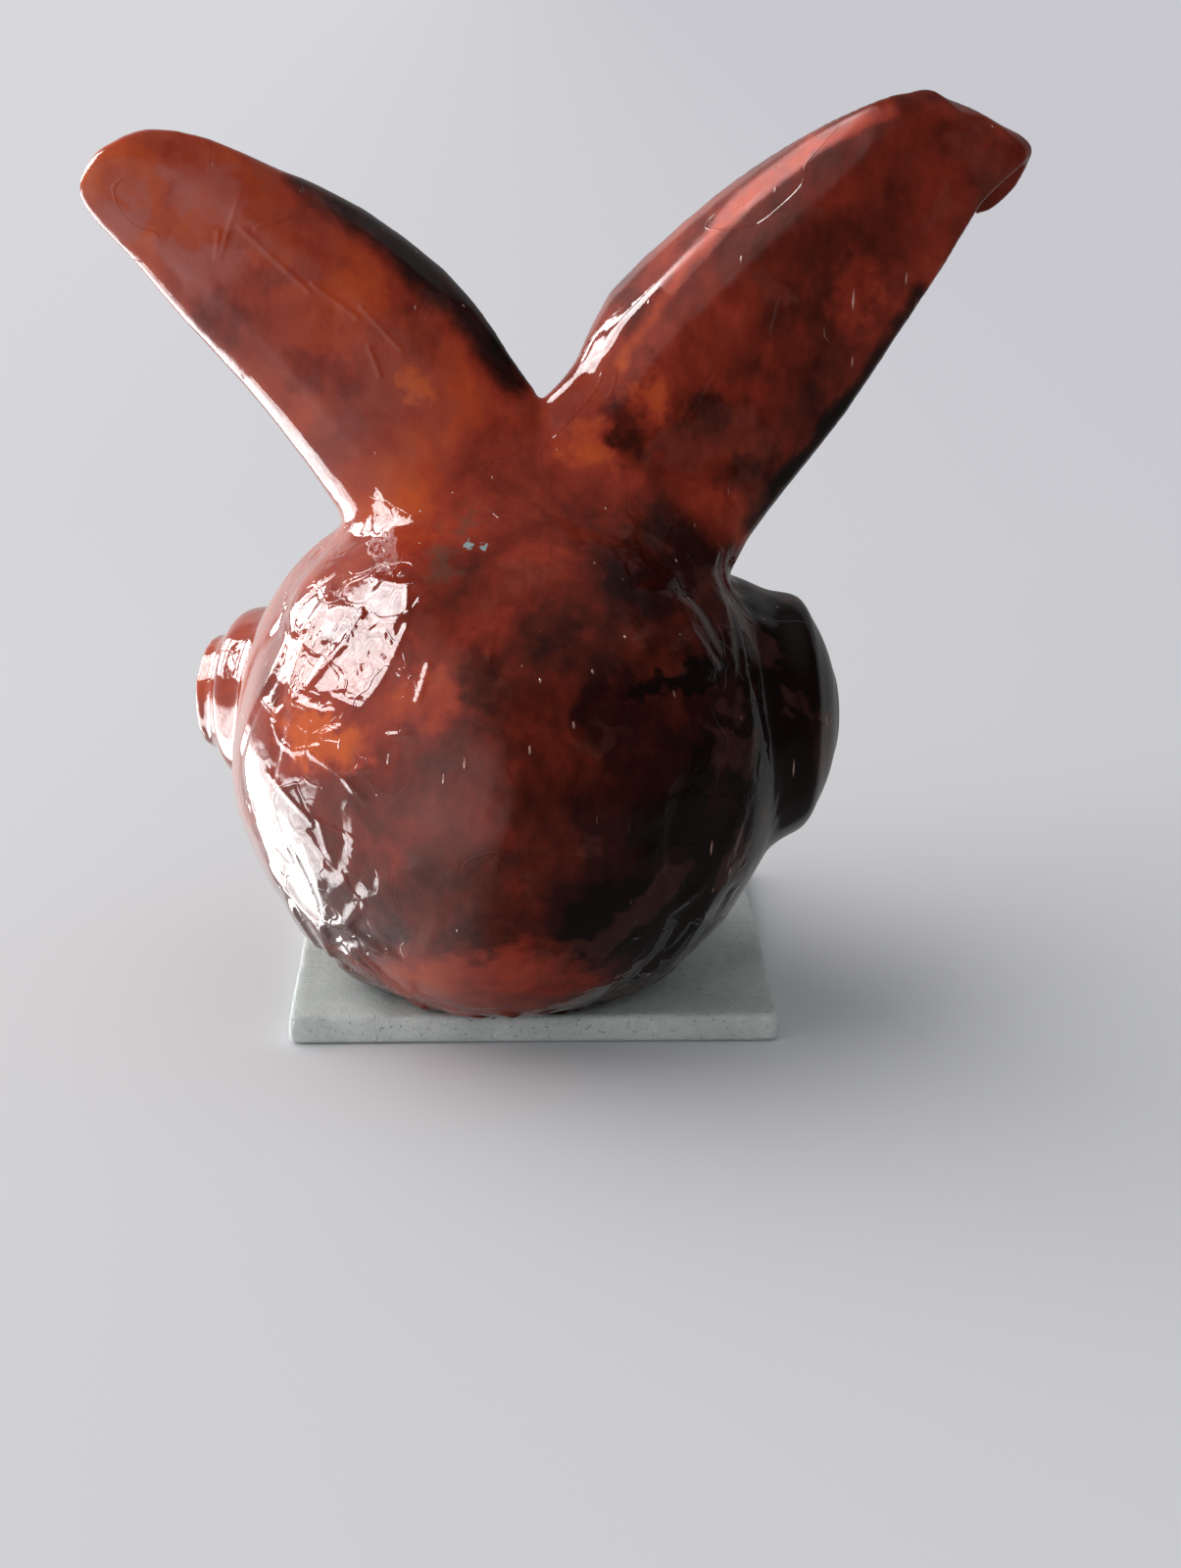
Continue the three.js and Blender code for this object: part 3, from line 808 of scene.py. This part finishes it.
def pool_mask(tree, seen, middle_point, reach, hard):
    """1 in the middle of an oval pool and 0 past its reach, from a place seen from behind."""
    scale = (1 / reach[0], 0.0, 1 / reach[1])
    shift = (-middle_point[0] / reach[0], 0.0, -middle_point[1] / reach[1])
    offset = add_node(tree, "ShaderNodeMapping", {"Vector": seen, "Scale": scale, "Location": shift})
    return step(tree, vector_calc(tree, "LENGTH", offset.outputs["Vector"]), 1.0, hard)


def line_mask(tree, seen, line, width):
    """1 on a line of points (x, z) in millimetres seen from behind, and 0 past its width."""
    flat = vector_calc(tree, "MULTIPLY", seen, (1.0, 0.0, 1.0))
    whole = None
    for start, end in zip(line, line[1:]):
        along = Vector((end[0] - start[0], 0.0, end[1] - start[1]))
        offset = vector_calc(tree, "SUBTRACT", flat, (start[0], 0.0, start[1]))
        share = vector_calc(tree, "DOT_PRODUCT", offset, tuple(along / along.length_squared))
        nearest = vector_scale(tree, tuple(along), calc(tree, "ADD", share, 0.0, clamp=True))
        away = vector_calc(tree, "LENGTH", vector_calc(tree, "SUBTRACT", offset, nearest))
        part = step(tree, away, width, width * 0.1)
        whole = part if whole is None else calc(tree, "MAXIMUM", whole, part)
    return whole


def varnish_tone(tree, place, swayed, head_axes, ball):
    """How light the paint is, from broad patches to fibres, with the placed pools, and with painted shade and a
    painted highlight in it.
    """
    patches = fog(tree, swayed, 0.085, 3, 0.45, 0.5)
    blots = fog(tree, place, 0.045, 3, 0.5)
    fibres = fog(tree, millimetres(tree, stretch=(1.0, 1.0, 0.55)), 0.5, 5, 0.6)
    tone = calc(tree, "MULTIPLY_ADD", patches, 0.6, -0.19)
    tone = calc(tree, "MULTIPLY_ADD", blots, 0.5, tone)
    tone = calc(tree, "MULTIPLY_ADD", fibres, 0.26, tone)
    # Painted shade: on the ball the paint darkens towards the right and lower down, and on the ears towards the
    # right, as if lit from the left.
    painted_shade = calc(tree, "MULTIPLY", head_axes["X"], 0.0088)
    painted_shade = calc(tree, "MULTIPLY_ADD", head_axes["Z"], 0.0062, painted_shade)
    painted_shade = calc(tree, "SUBTRACT", painted_shade, 0.17)
    ears = calc(tree, "MULTIPLY_ADD", head_axes["X"], 0.0028, 0.14)
    tone = calc(tree, "ADD", tone, blend_value(tree, ball, ears, painted_shade))
    ragged = fog(tree, place, 0.3, 3, 0.6, output="Color")
    ragged = vector_scale(tree, vector_calc(tree, "SUBTRACT", ragged, (0.5, 0.5, 0.5)), 9.0)
    seen = vector_calc(tree, "ADD", place, ragged)
    # The pools are partly the paint's own blotches and partly painted light and shade.
    for middle_point, reach, change in PAINT_AND_SHADE_POOLS:
        tone = calc(tree, "MULTIPLY_ADD", pool_mask(tree, seen, middle_point, reach, 0.35), change, tone)
    wavy = vector_calc(tree, "ADD", place, vector_scale(tree, ragged, 0.3))
    # The two dark lines are painted shade, and the light crest line is a painted highlight.
    for line, width, change in ((FAR_RIM_SHADE, 4.0, -0.46), (RIGHT_EDGE_SHADE, 2.6, -0.34), (CREST_HIGHLIGHT, 1.5, 0.24)):
        tone = calc(tree, "MULTIPLY_ADD", line_mask(tree, wavy, line, width), change, tone)
    # Painted shade: the right disc is painted darker.
    right_disc_shade = calc(tree, "MULTIPLY", step(tree, head_axes["X"], -32.4, -37.4), step(tree, head_axes["Z"], 28.0, 22.0))
    return calc(tree, "MULTIPLY_ADD", right_disc_shade, -0.45, tone), fibres, seen


def red_varnish(thin_lines, crumple, dashes):
    """Tissue soaked in red, orange and brown paint under thick clear varnish, with painted shade, a painted
    reflection and painted highlights in its colour.
    """
    made, tree, shader = new_material("red_varnish")
    place = millimetres(tree)
    sway = fog(tree, place, 0.09, 2, output="Color")
    sway = vector_scale(tree, vector_calc(tree, "SUBTRACT", sway, (0.5, 0.5, 0.5)), 12.0)
    swayed = vector_calc(tree, "ADD", place, sway)
    from_head = vector_calc(tree, "SUBTRACT", place, tuple(HEAD / MM))
    head_axes = add_node(tree, "ShaderNodeSeparateXYZ", {0: from_head}).outputs
    ball = step(tree, vector_calc(tree, "LENGTH", from_head), 46.0, 42.0)

    tone, fibres, seen = varnish_tone(tree, place, swayed, head_axes, ball)
    paint = ramp(tree, tone, [
        (0.04, screen_colour(18, 7, 5)),
        (0.22, screen_colour(48, 15, 11)),
        (0.38, screen_colour(90, 31, 20)),
        (0.52, screen_colour(126, 42, 28)),
        (0.66, screen_colour(158, 57, 38)),
        (0.82, screen_colour(184, 74, 42)),
        (1.00, screen_colour(206, 90, 38)),
    ])
    film = step(tree, fog(tree, swayed, 0.075, 3, 0.55), 0.55, 0.60)
    film = calc(tree, "MULTIPLY", film, calc(tree, "MULTIPLY", fibres, 0.3))
    paint = blend(tree, film, paint, screen_colour(124, 72, 62))
    # Painted reflection: a pale pink sheen over the outer half of the left ear.
    painted_sheen = calc(tree, "MULTIPLY", step(tree, fog(tree, swayed, 0.11, 3, 0.55), 0.40, 0.56), 0.85)
    painted_sheen = calc(tree, "MULTIPLY", painted_sheen, pool_mask(tree, seen, PAINTED_SHEEN_MIDDLE, PAINTED_SHEEN_REACH, 0.5))
    paint = blend(tree, painted_sheen, paint, screen_colour(178, 94, 84))
    chipped = vector_calc(tree, "ADD", place, vector_scale(tree, fog(tree, place, 1.2, 2, output="Color"), 1.6))
    for spot in SMUDGES:
        stain = calc(tree, "MULTIPLY", pool_mask(tree, seen, spot, (2.6, 2.2), 0.1), 0.45)
        paint = blend(tree, stain, paint, screen_colour(84, 76, 62))
    for spot in FLECKS:
        bare = pool_mask(tree, chipped, spot, FLECK_REACH, 0.5)
        paint = blend(tree, calc(tree, "MULTIPLY", bare, 0.85), paint, screen_colour(150, 178, 178))
    hairs_and_glints = use_group(
        tree, dashes, {"Place": millimetres(tree, (0, 0.35, 0), (1.0, 1.0, 0.14)), "Spacing": 2.2, "Share": 0.45},
    )["Height"]
    # Painted highlight: the raised hairs are tinted light, as if they caught the light.
    paint = blend(tree, calc(tree, "MULTIPLY", hairs_and_glints, 0.6), paint, screen_colour(226, 168, 150))
    put(tree, shader.inputs["Base Color"], paint)

    beside = calc(tree, "ABSOLUTE", head_axes["X"])
    flank = calc(tree, "MULTIPLY", step(tree, beside, 9.0, 22.0), step(tree, beside, 36.0, 31.0))
    flank = calc(tree, "MULTIPLY", calc(tree, "MULTIPLY_ADD", flank, 0.85, 0.15), ball)
    small = use_group(tree, crumple, {"Place": place, "Size": 5.5, "Slope": 0.05, "Edge": 0.018})
    large = use_group(tree, crumple, {"Place": swayed, "Size": 13.0, "Slope": 0.02, "Edge": 0.035})
    lines = use_group(tree, thin_lines, {"Place": place, "Scale": 0.05, "Width": 0.006, "Cover": 0.46})["Height"]
    ripple = fog(tree, place, 0.5, 2, 0.5)
    height = calc(tree, "MULTIPLY", calc(tree, "ADD", small["Height"], large["Height"]), flank)
    height = calc(tree, "MULTIPLY_ADD", lines, 0.045, height)
    height = calc(tree, "MULTIPLY_ADD", hairs_and_glints, 0.16, height)
    height = calc(tree, "MULTIPLY_ADD", ripple, 0.03, height)
    bump = add_node(tree, "ShaderNodeBump", {"Height": height, "Strength": 1.0, "Distance": 1.0 * MM})
    put(tree, shader.inputs["Normal"], bump.outputs["Normal"])
    smears = fog(tree, swayed, 0.2, 4, 0.6)
    rough = calc(tree, "MULTIPLY_ADD", step(tree, smears, 0.5, 0.8), 0.10, 0.035)
    rough = calc(tree, "MULTIPLY_ADD", line_mask(tree, place, DULL_CREST, 2.0), 0.5, rough)
    put(tree, shader.inputs["Roughness"], rough)
    shader.inputs["IOR"].default_value = 1.5
    return made


def dark_gloss():
    """Black-brown varnish of the eyes and nose, with a warm depth and fine dust."""
    made, tree, shader = new_material("dark_gloss")
    place = millimetres(tree)
    depth = fog(tree, place, 0.5, 4, 0.6, 0.3)
    tint = ramp(tree, depth, [
        (0.35, screen_colour(8, 5, 5)), (0.60, screen_colour(26, 12, 9)), (0.75, screen_colour(48, 20, 12)),
    ])
    put(tree, shader.inputs["Base Color"], tint)
    dust = step(tree, fog(tree, place, 3.0, 2), 0.62, 0.7)
    put(tree, shader.inputs["Roughness"], calc(tree, "MULTIPLY_ADD", dust, 0.1, 0.04))
    ripple = fog(tree, place, 0.6, 2)
    bump = add_node(tree, "ShaderNodeBump", {"Height": ripple, "Strength": 0.5, "Distance": 0.1 * MM})
    put(tree, shader.inputs["Normal"], bump.outputs["Normal"])
    return made


def pale_plaster():
    """Grey-green matt paint brushed over plaster, with thin scratches and pits."""
    made, tree, shader = new_material("pale_plaster")
    place = millimetres(tree)
    strokes = fog(tree, millimetres(tree, (0, 0, 0.35), (0.8, 1.0, 1.0)), 0.9, 6, 0.75, 0.3)
    clouds = fog(tree, place, 0.08, 3, 0.5)
    tone = calc(tree, "MULTIPLY_ADD", strokes, 0.4, calc(tree, "MULTIPLY", clouds, 0.6))
    tint = ramp(tree, tone, [
        (0.34, screen_colour(196, 204, 201)),
        (0.50, screen_colour(214, 221, 218)),
        (0.64, screen_colour(226, 232, 229)),
    ])
    specks = step(tree, fog(tree, place, 2.3, 2), 0.70, 0.76)
    tint = blend(tree, calc(tree, "MULTIPLY", specks, 0.35), tint, screen_colour(214, 220, 216))
    put(tree, shader.inputs["Base Color"], tint)
    pits = step(tree, fog(tree, place, 1.4, 3), 0.62, 0.72)
    height = calc(tree, "SUBTRACT", calc(tree, "MULTIPLY", strokes, 0.5), calc(tree, "MULTIPLY", pits, 0.3))
    bump = add_node(tree, "ShaderNodeBump", {"Height": height, "Strength": 1.0, "Distance": 0.8 * MM})
    put(tree, shader.inputs["Normal"], bump.outputs["Normal"])
    put(tree, shader.inputs["Roughness"], calc(tree, "MULTIPLY_ADD", clouds, 0.25, 0.40))
    return made


def white_foam():
    """Pressed foam beads of the core."""
    made, tree, shader = new_material("white_foam")
    place = millimetres(tree)
    bead = cells(tree, place, 0.4)
    edge = cells(tree, place, 0.4, "DISTANCE_TO_EDGE")
    tint = ramp(tree, edge, [(0.0, screen_colour(206, 206, 198)), (0.12, screen_colour(242, 242, 236))])
    put(tree, shader.inputs["Base Color"], tint)
    bump = add_node(tree, "ShaderNodeBump", {"Height": bead, "Strength": 0.7, "Distance": -0.4 * MM})
    put(tree, shader.inputs["Normal"], bump.outputs["Normal"])
    put(tree, shader.inputs["Roughness"], calc(tree, "MULTIPLY_ADD", bead, 0.2, 0.6))
    return made


def armature_wire():
    """Drawn wire with fine scratches along it and dull patches."""
    made, tree, shader = new_material("armature_wire")
    scratches = fog(tree, millimetres(tree, (0, 0.85, 0), (3.0, 3.0, 0.1)), 2.0, 3)
    dull = fog(tree, millimetres(tree), 0.4, 2)
    tint = ramp(tree, scratches, [(0.3, screen_colour(140, 141, 145)), (0.7, screen_colour(196, 197, 200))])
    put(tree, shader.inputs["Base Color"], tint)
    shader.inputs["Metallic"].default_value = 1.0
    put(tree, shader.inputs["Roughness"], calc(tree, "MULTIPLY_ADD", dull, 0.3, 0.2))
    bump = add_node(tree, "ShaderNodeBump", {"Height": scratches, "Strength": 0.4, "Distance": 0.05 * MM})
    put(tree, shader.inputs["Normal"], bump.outputs["Normal"])
    return made


def pale_wood(name, turn):
    """Birch with its grain along the piece."""
    made, tree, shader = new_material(name)
    place = millimetres(tree, turn, (1.0, 1.0, 0.08))
    grain = fog(tree, place, 1.2, 5, 0.6, 0.5)
    pores = step(tree, fog(tree, place, 5.0, 2), 0.6, 0.7)
    tint = ramp(tree, grain, [(0.35, screen_colour(188, 150, 106)), (0.65, screen_colour(222, 190, 146))])
    tint = blend(tree, calc(tree, "MULTIPLY", pores, 0.5), tint, screen_colour(150, 110, 72))
    put(tree, shader.inputs["Base Color"], tint)
    put(tree, shader.inputs["Roughness"], calc(tree, "MULTIPLY_ADD", grain, 0.3, 0.45))
    bump = add_node(tree, "ShaderNodeBump", {"Height": grain, "Strength": 0.5, "Distance": 0.1 * MM})
    put(tree, shader.inputs["Normal"], bump.outputs["Normal"])
    return made


def dress_node(node_name, material):
    """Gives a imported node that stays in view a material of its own."""
    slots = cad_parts[node_name].material_slots
    for slot in slots:
        slot.material = material


def dress(piece, material, slot, *nodes):
    """Finishes a new piece: its material, its body and the nodes that it stands for. The slot is not used."""
    piece.data.materials.clear()
    piece.data.materials.append(material)
    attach(piece, "root")
    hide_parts(*nodes)


# Floor, light and camera.

FLOOR_NEAR = 0.10
FLOOR_FAR = 0.36


def studio_floor():
    """A plain pale floor under the slab, which turns into a backdrop away from it, with painted light: lighter on the
    window's side and darker on the other.
    """
    deselect()
    bpy.ops.mesh.primitive_plane_add(size=8, location=(0, 0, -0.05 * MM))
    floor = added("studio_floor")
    made, tree, shader = new_material("pale_floor")
    shader.inputs["Base Color"].default_value = screen_colour(222, 223, 226)
    shader.inputs["Roughness"].default_value = 0.9
    shader.inputs["Specular IOR Level"].default_value = 0.0
    place = add_node(tree, "ShaderNodeTexCoord").outputs["Object"]
    aside = add_node(tree, "ShaderNodeSeparateXYZ", {0: place}).outputs["X"]
    # Painted light: the backdrop is lighter on the window's side.
    tint = blend(tree, step(tree, aside, -0.25, 0.25), screen_colour(200, 200, 206), screen_colour(216, 215, 219))
    glow = add_node(tree, "ShaderNodeEmission", {"Color": tint, "Strength": 1.0})
    far = step(tree, vector_calc(tree, "LENGTH", place), FLOOR_NEAR, FLOOR_FAR)
    seen = add_node(tree, "ShaderNodeLightPath").outputs["Is Camera Ray"]
    factor = calc(tree, "MULTIPLY", far, seen)
    mixed = add_node(tree, "ShaderNodeMixShader", {0: factor, 1: shader.outputs[0], 2: glow.outputs[0]})
    put(tree, tree.nodes["Material Output"].inputs["Surface"], mixed.outputs[0])
    floor.data.materials.append(made)
    floor.visible_glossy = False


def way_to(azimuth, elevation):
    """A direction from the object, with azimuth 0 at the rabbit's left and 90 in front of it, in degrees."""
    turn, rise = math.radians(azimuth), math.radians(elevation)
    return Vector((math.cos(rise) * math.cos(turn), -math.cos(rise) * math.sin(turn), math.sin(rise)))


WINDOW_WAY = way_to(12, 38)
PANEL_WAY = way_to(-66, -4)
LAMP_DISTANCE = 1.2
LAMP_SHARE = 1.25

# The panes of the studio window as the varnish shows them, in degrees across its slanted bars.
PANES = ((-66, -15), (-9, 3), (9, 42))
WINDOW_GLOW = 19.0
LOW_GLOW = 11.0


def window_light():
    """A soft window-like lamp at the rabbit's left."""
    light = bpy.data.lights.new("window_lamp", "AREA")
    light.shape = "RECTANGLE"
    light.size = 2.0
    light.size_y = 1.6
    light.energy = LAMP_SHARE * (math.pi * LAMP_DISTANCE) ** 2
    light.color = (1.0, 0.98, 0.96)
    lamp = bpy.data.objects.new("window_lamp", light)
    bpy.context.scene.collection.objects.link(lamp)
    lamp.location = HEAD + WINDOW_WAY * LAMP_DISTANCE
    lamp.rotation_euler = WINDOW_WAY.to_track_quat("Z", "Y").to_euler()
    lamp.visible_camera = False
    lamp.visible_glossy = False


def window_mask(tree, way, centre, half_width, half_height, soft):
    """1 where a direction falls inside a window seen from the object, with soft edges."""
    across = Vector((0, 0, 1)).cross(centre).normalized()
    upward = centre.cross(across)
    ahead = calc(tree, "MAXIMUM", vector_calc(tree, "DOT_PRODUCT", way, tuple(centre)), 0.001)
    mask = None
    for axis, half in ((across, half_width), (upward, half_height)):
        offset = calc(tree, "ABSOLUTE", vector_calc(tree, "DOT_PRODUCT", way, tuple(axis)))
        offset = calc(tree, "DIVIDE", offset, ahead)
        inside = step(tree, offset, half + soft, half)
        mask = inside if mask is None else calc(tree, "MULTIPLY", mask, inside)
    return mask


def between_two(tree, value, low, high, soft):
    """1 between two values, with soft ends."""
    above = step(tree, value, low - soft, low + soft)
    return calc(tree, "MULTIPLY", above, step(tree, value, high + soft, high - soft))


def pane_windows(tree, azimuth, elevation):
    """The tall window, whose bars and sill slant because it is so near, and whose top is an arch."""
    aside = calc(tree, "SUBTRACT", azimuth, 3.0)
    top = calc(tree, "MULTIPLY_ADD", calc(tree, "MULTIPLY", aside, aside), -0.02, 58.0)
    sill = calc(tree, "MULTIPLY_ADD", azimuth, -0.45, 17.6)
    slant = calc(tree, "MULTIPLY_ADD", elevation, -1.2, azimuth)
    inside = step(tree, calc(tree, "SUBTRACT", top, elevation), -1.0, 1.0)
    inside = calc(tree, "MULTIPLY", inside, step(tree, calc(tree, "SUBTRACT", elevation, sill), -1.0, 1.0))
    glass = None
    for left, right in PANES:
        pane = between_two(tree, slant, left, right, 1.0)
        glass = pane if glass is None else calc(tree, "ADD", glass, pane)
    return calc(tree, "MULTIPLY", inside, glass)


def low_window(tree, azimuth, elevation):
    """The bright table top below the window."""
    wide = between_two(tree, azimuth, -8.0, 47.0, 3.0)
    return calc(tree, "MULTIPLY", wide, between_two(tree, elevation, -44.0, -10.0, 2.5))


def studio_world():
    """Plain soft light from the left, with the studio's window and walls shown in the varnish."""
    world = bpy.data.worlds.new("studio_world")
    bpy.context.scene.world = world
    world.use_nodes = True
    world.cycles.sampling_method = "NONE"
    tree = world.node_tree
    tree.nodes.clear()
    way = add_node(tree, "ShaderNodeTexCoord").outputs["Generated"]
    axes = add_node(tree, "ShaderNodeSeparateXYZ", {0: way}).outputs
    ahead = calc(tree, "MULTIPLY", axes["Y"], -1.0)
    azimuth = calc(tree, "MULTIPLY", calc(tree, "ARCTAN2", ahead, axes["X"]), math.degrees(1))
    elevation = calc(tree, "MULTIPLY", calc(tree, "ARCSINE", axes["Z"]), math.degrees(1))
    bright = calc(tree, "MULTIPLY", pane_windows(tree, azimuth, elevation), WINDOW_GLOW)
    low_bright = calc(tree, "MULTIPLY", low_window(tree, azimuth, elevation), LOW_GLOW)
    outdoors = calc(tree, "MULTIPLY_ADD", fog(tree, way, 8.0, 4, 0.65), 2.4, -0.4, clamp=True)
    bright = calc(tree, "MULTIPLY", calc(tree, "ADD", bright, low_bright), outdoors)
    panel = calc(tree, "MULTIPLY", window_mask(tree, way, PANEL_WAY, 0.06, 0.12, 0.45), 0.55)
    haze_level = calc(tree, "MULTIPLY_ADD", step(tree, axes["Z"], 0.1, -0.3), 0.40, 0.65)
    haze = calc(tree, "MULTIPLY", step(tree, axes["X"], -0.15, 0.8), haze_level)
    haze = calc(tree, "MULTIPLY", haze, step(tree, axes["Z"], 0.9, 0.6))
    wall_tone = calc(tree, "MULTIPLY_ADD", step(tree, axes["X"], -0.2, 0.55), 0.46, 0.14)
    behind = step(tree, calc(tree, "MULTIPLY_ADD", axes["X"], 0.18, axes["Y"]), -0.58, -0.73)
    wall = calc(tree, "MULTIPLY", calc(tree, "MULTIPLY", behind, wall_tone), step(tree, axes["Z"], 0.72, 0.5))
    ceiling = calc(tree, "MULTIPLY", step(tree, axes["Z"], 0.55, 0.95), 0.10)
    table = calc(tree, "MULTIPLY", step(tree, axes["Z"], -0.05, -0.35), 0.04)
    room = calc(tree, "ADD", calc(tree, "ADD", bright, haze), panel)
    room = calc(tree, "ADD", room, calc(tree, "ADD", wall, ceiling))
    room = calc(tree, "ADD", room, calc(tree, "ADD", table, 0.03))
    shown = add_node(tree, "ShaderNodeBackground", {"Color": (1, 1, 1, 1), "Strength": room})
    soft = calc(tree, "MULTIPLY_ADD", axes["X"], 0.18, 0.44)
    plain = add_node(tree, "ShaderNodeBackground", {"Color": (0.97, 0.98, 1.0, 1), "Strength": soft})
    path = add_node(tree, "ShaderNodeLightPath").outputs
    direct = calc(tree, "LESS_THAN", path["Diffuse Depth"], 0.5)
    glossy = calc(tree, "MULTIPLY", path["Is Glossy Ray"], direct)
    mixed = add_node(tree, "ShaderNodeMixShader", {0: glossy, 1: plain.outputs[0], 2: shown.outputs[0]})
    out = add_node(tree, "ShaderNodeOutputWorld")
    put(tree, out.inputs["Surface"], mixed.outputs[0])


CAMERA_PLACE = Vector((4.1, 391.8, 159.6)) * MM
CAMERA_DOWN = math.radians(18.65)
CAMERA_HEADING = math.radians(180 - 1.9)
CAMERA_ROLL = math.radians(0.4)
PHOTO_HEIGHT = 1600
FOCAL_PIXELS = 2785
SENSOR_MM = 36


def photo_camera():
    """The camera where the photograph was taken from, looking down at the back of the head."""
    lens = bpy.data.cameras.new("photo_camera")
    lens.sensor_width = SENSOR_MM
    lens.lens = FOCAL_PIXELS * SENSOR_MM / PHOTO_HEIGHT
    lens.clip_start = 0.01
    lens.clip_end = 50
    camera = bpy.data.objects.new("photo_camera", lens)
    bpy.context.scene.collection.objects.link(camera)
    turn = Matrix.Rotation(CAMERA_HEADING, 4, "Z")
    turn = turn @ Matrix.Rotation(math.pi / 2 - CAMERA_DOWN, 4, "X")
    turn = turn @ Matrix.Rotation(CAMERA_ROLL, 4, "Z")
    camera.matrix_world = Matrix.Translation(CAMERA_PLACE) @ turn
    bpy.context.scene.camera = camera


STANDS_FOR = {
    "paper_skin": "head_skin",
    "left_ear_paper": "left_ear",
    "right_ear_paper": "right_ear",
    "left_disc_paper": "left_eye_disc",
    "right_disc_paper": "right_eye_disc",
    "left_cheek_paper": "left_cheek",
    "right_cheek_paper": "right_cheek",
    "chin_paper": "chin",
}


def build():
    """Makes every piece and dresses it."""
    bpy.context.scene.view_settings.view_transform = "Standard"
    photo_camera()
    studio_floor()
    window_light()
    studio_world()

    varnish = red_varnish(thin_lines_group(), crumple_group(), dashes_group())
    gloss = dark_gloss()
    form = paper_form()
    hollow(form)
    pieces = divide(form)
    for side in ("left", "right"):
        button = eye_button(side)
        let_in(pieces[side + "_disc_paper"], button)
        smooth_curves(button, 60)
        dress(button, gloss, "dark_gloss", side + "_eye")
    for name, piece in pieces.items():
        smooth_curves(piece, 50)
        dress(piece, varnish, "red_varnish", STANDS_FOR[name])
    dress(nose_button(), gloss, "dark_gloss", "nose")
    dress(plaster_slab(), pale_plaster(), "pale_plaster", "base_slab")

    dress_node("foam_core", white_foam())
    wire = armature_wire()
    for side in ("left", "right"):
        dress_node(side + "_ear_wire", wire)
        dress_node(side + "_eye_peg", pale_wood(side + "_peg_wood", (0, math.pi / 2, 0)))
    dress_node("mounting_dowel", pale_wood("dowel_wood", (0, 0, 0)))


build()
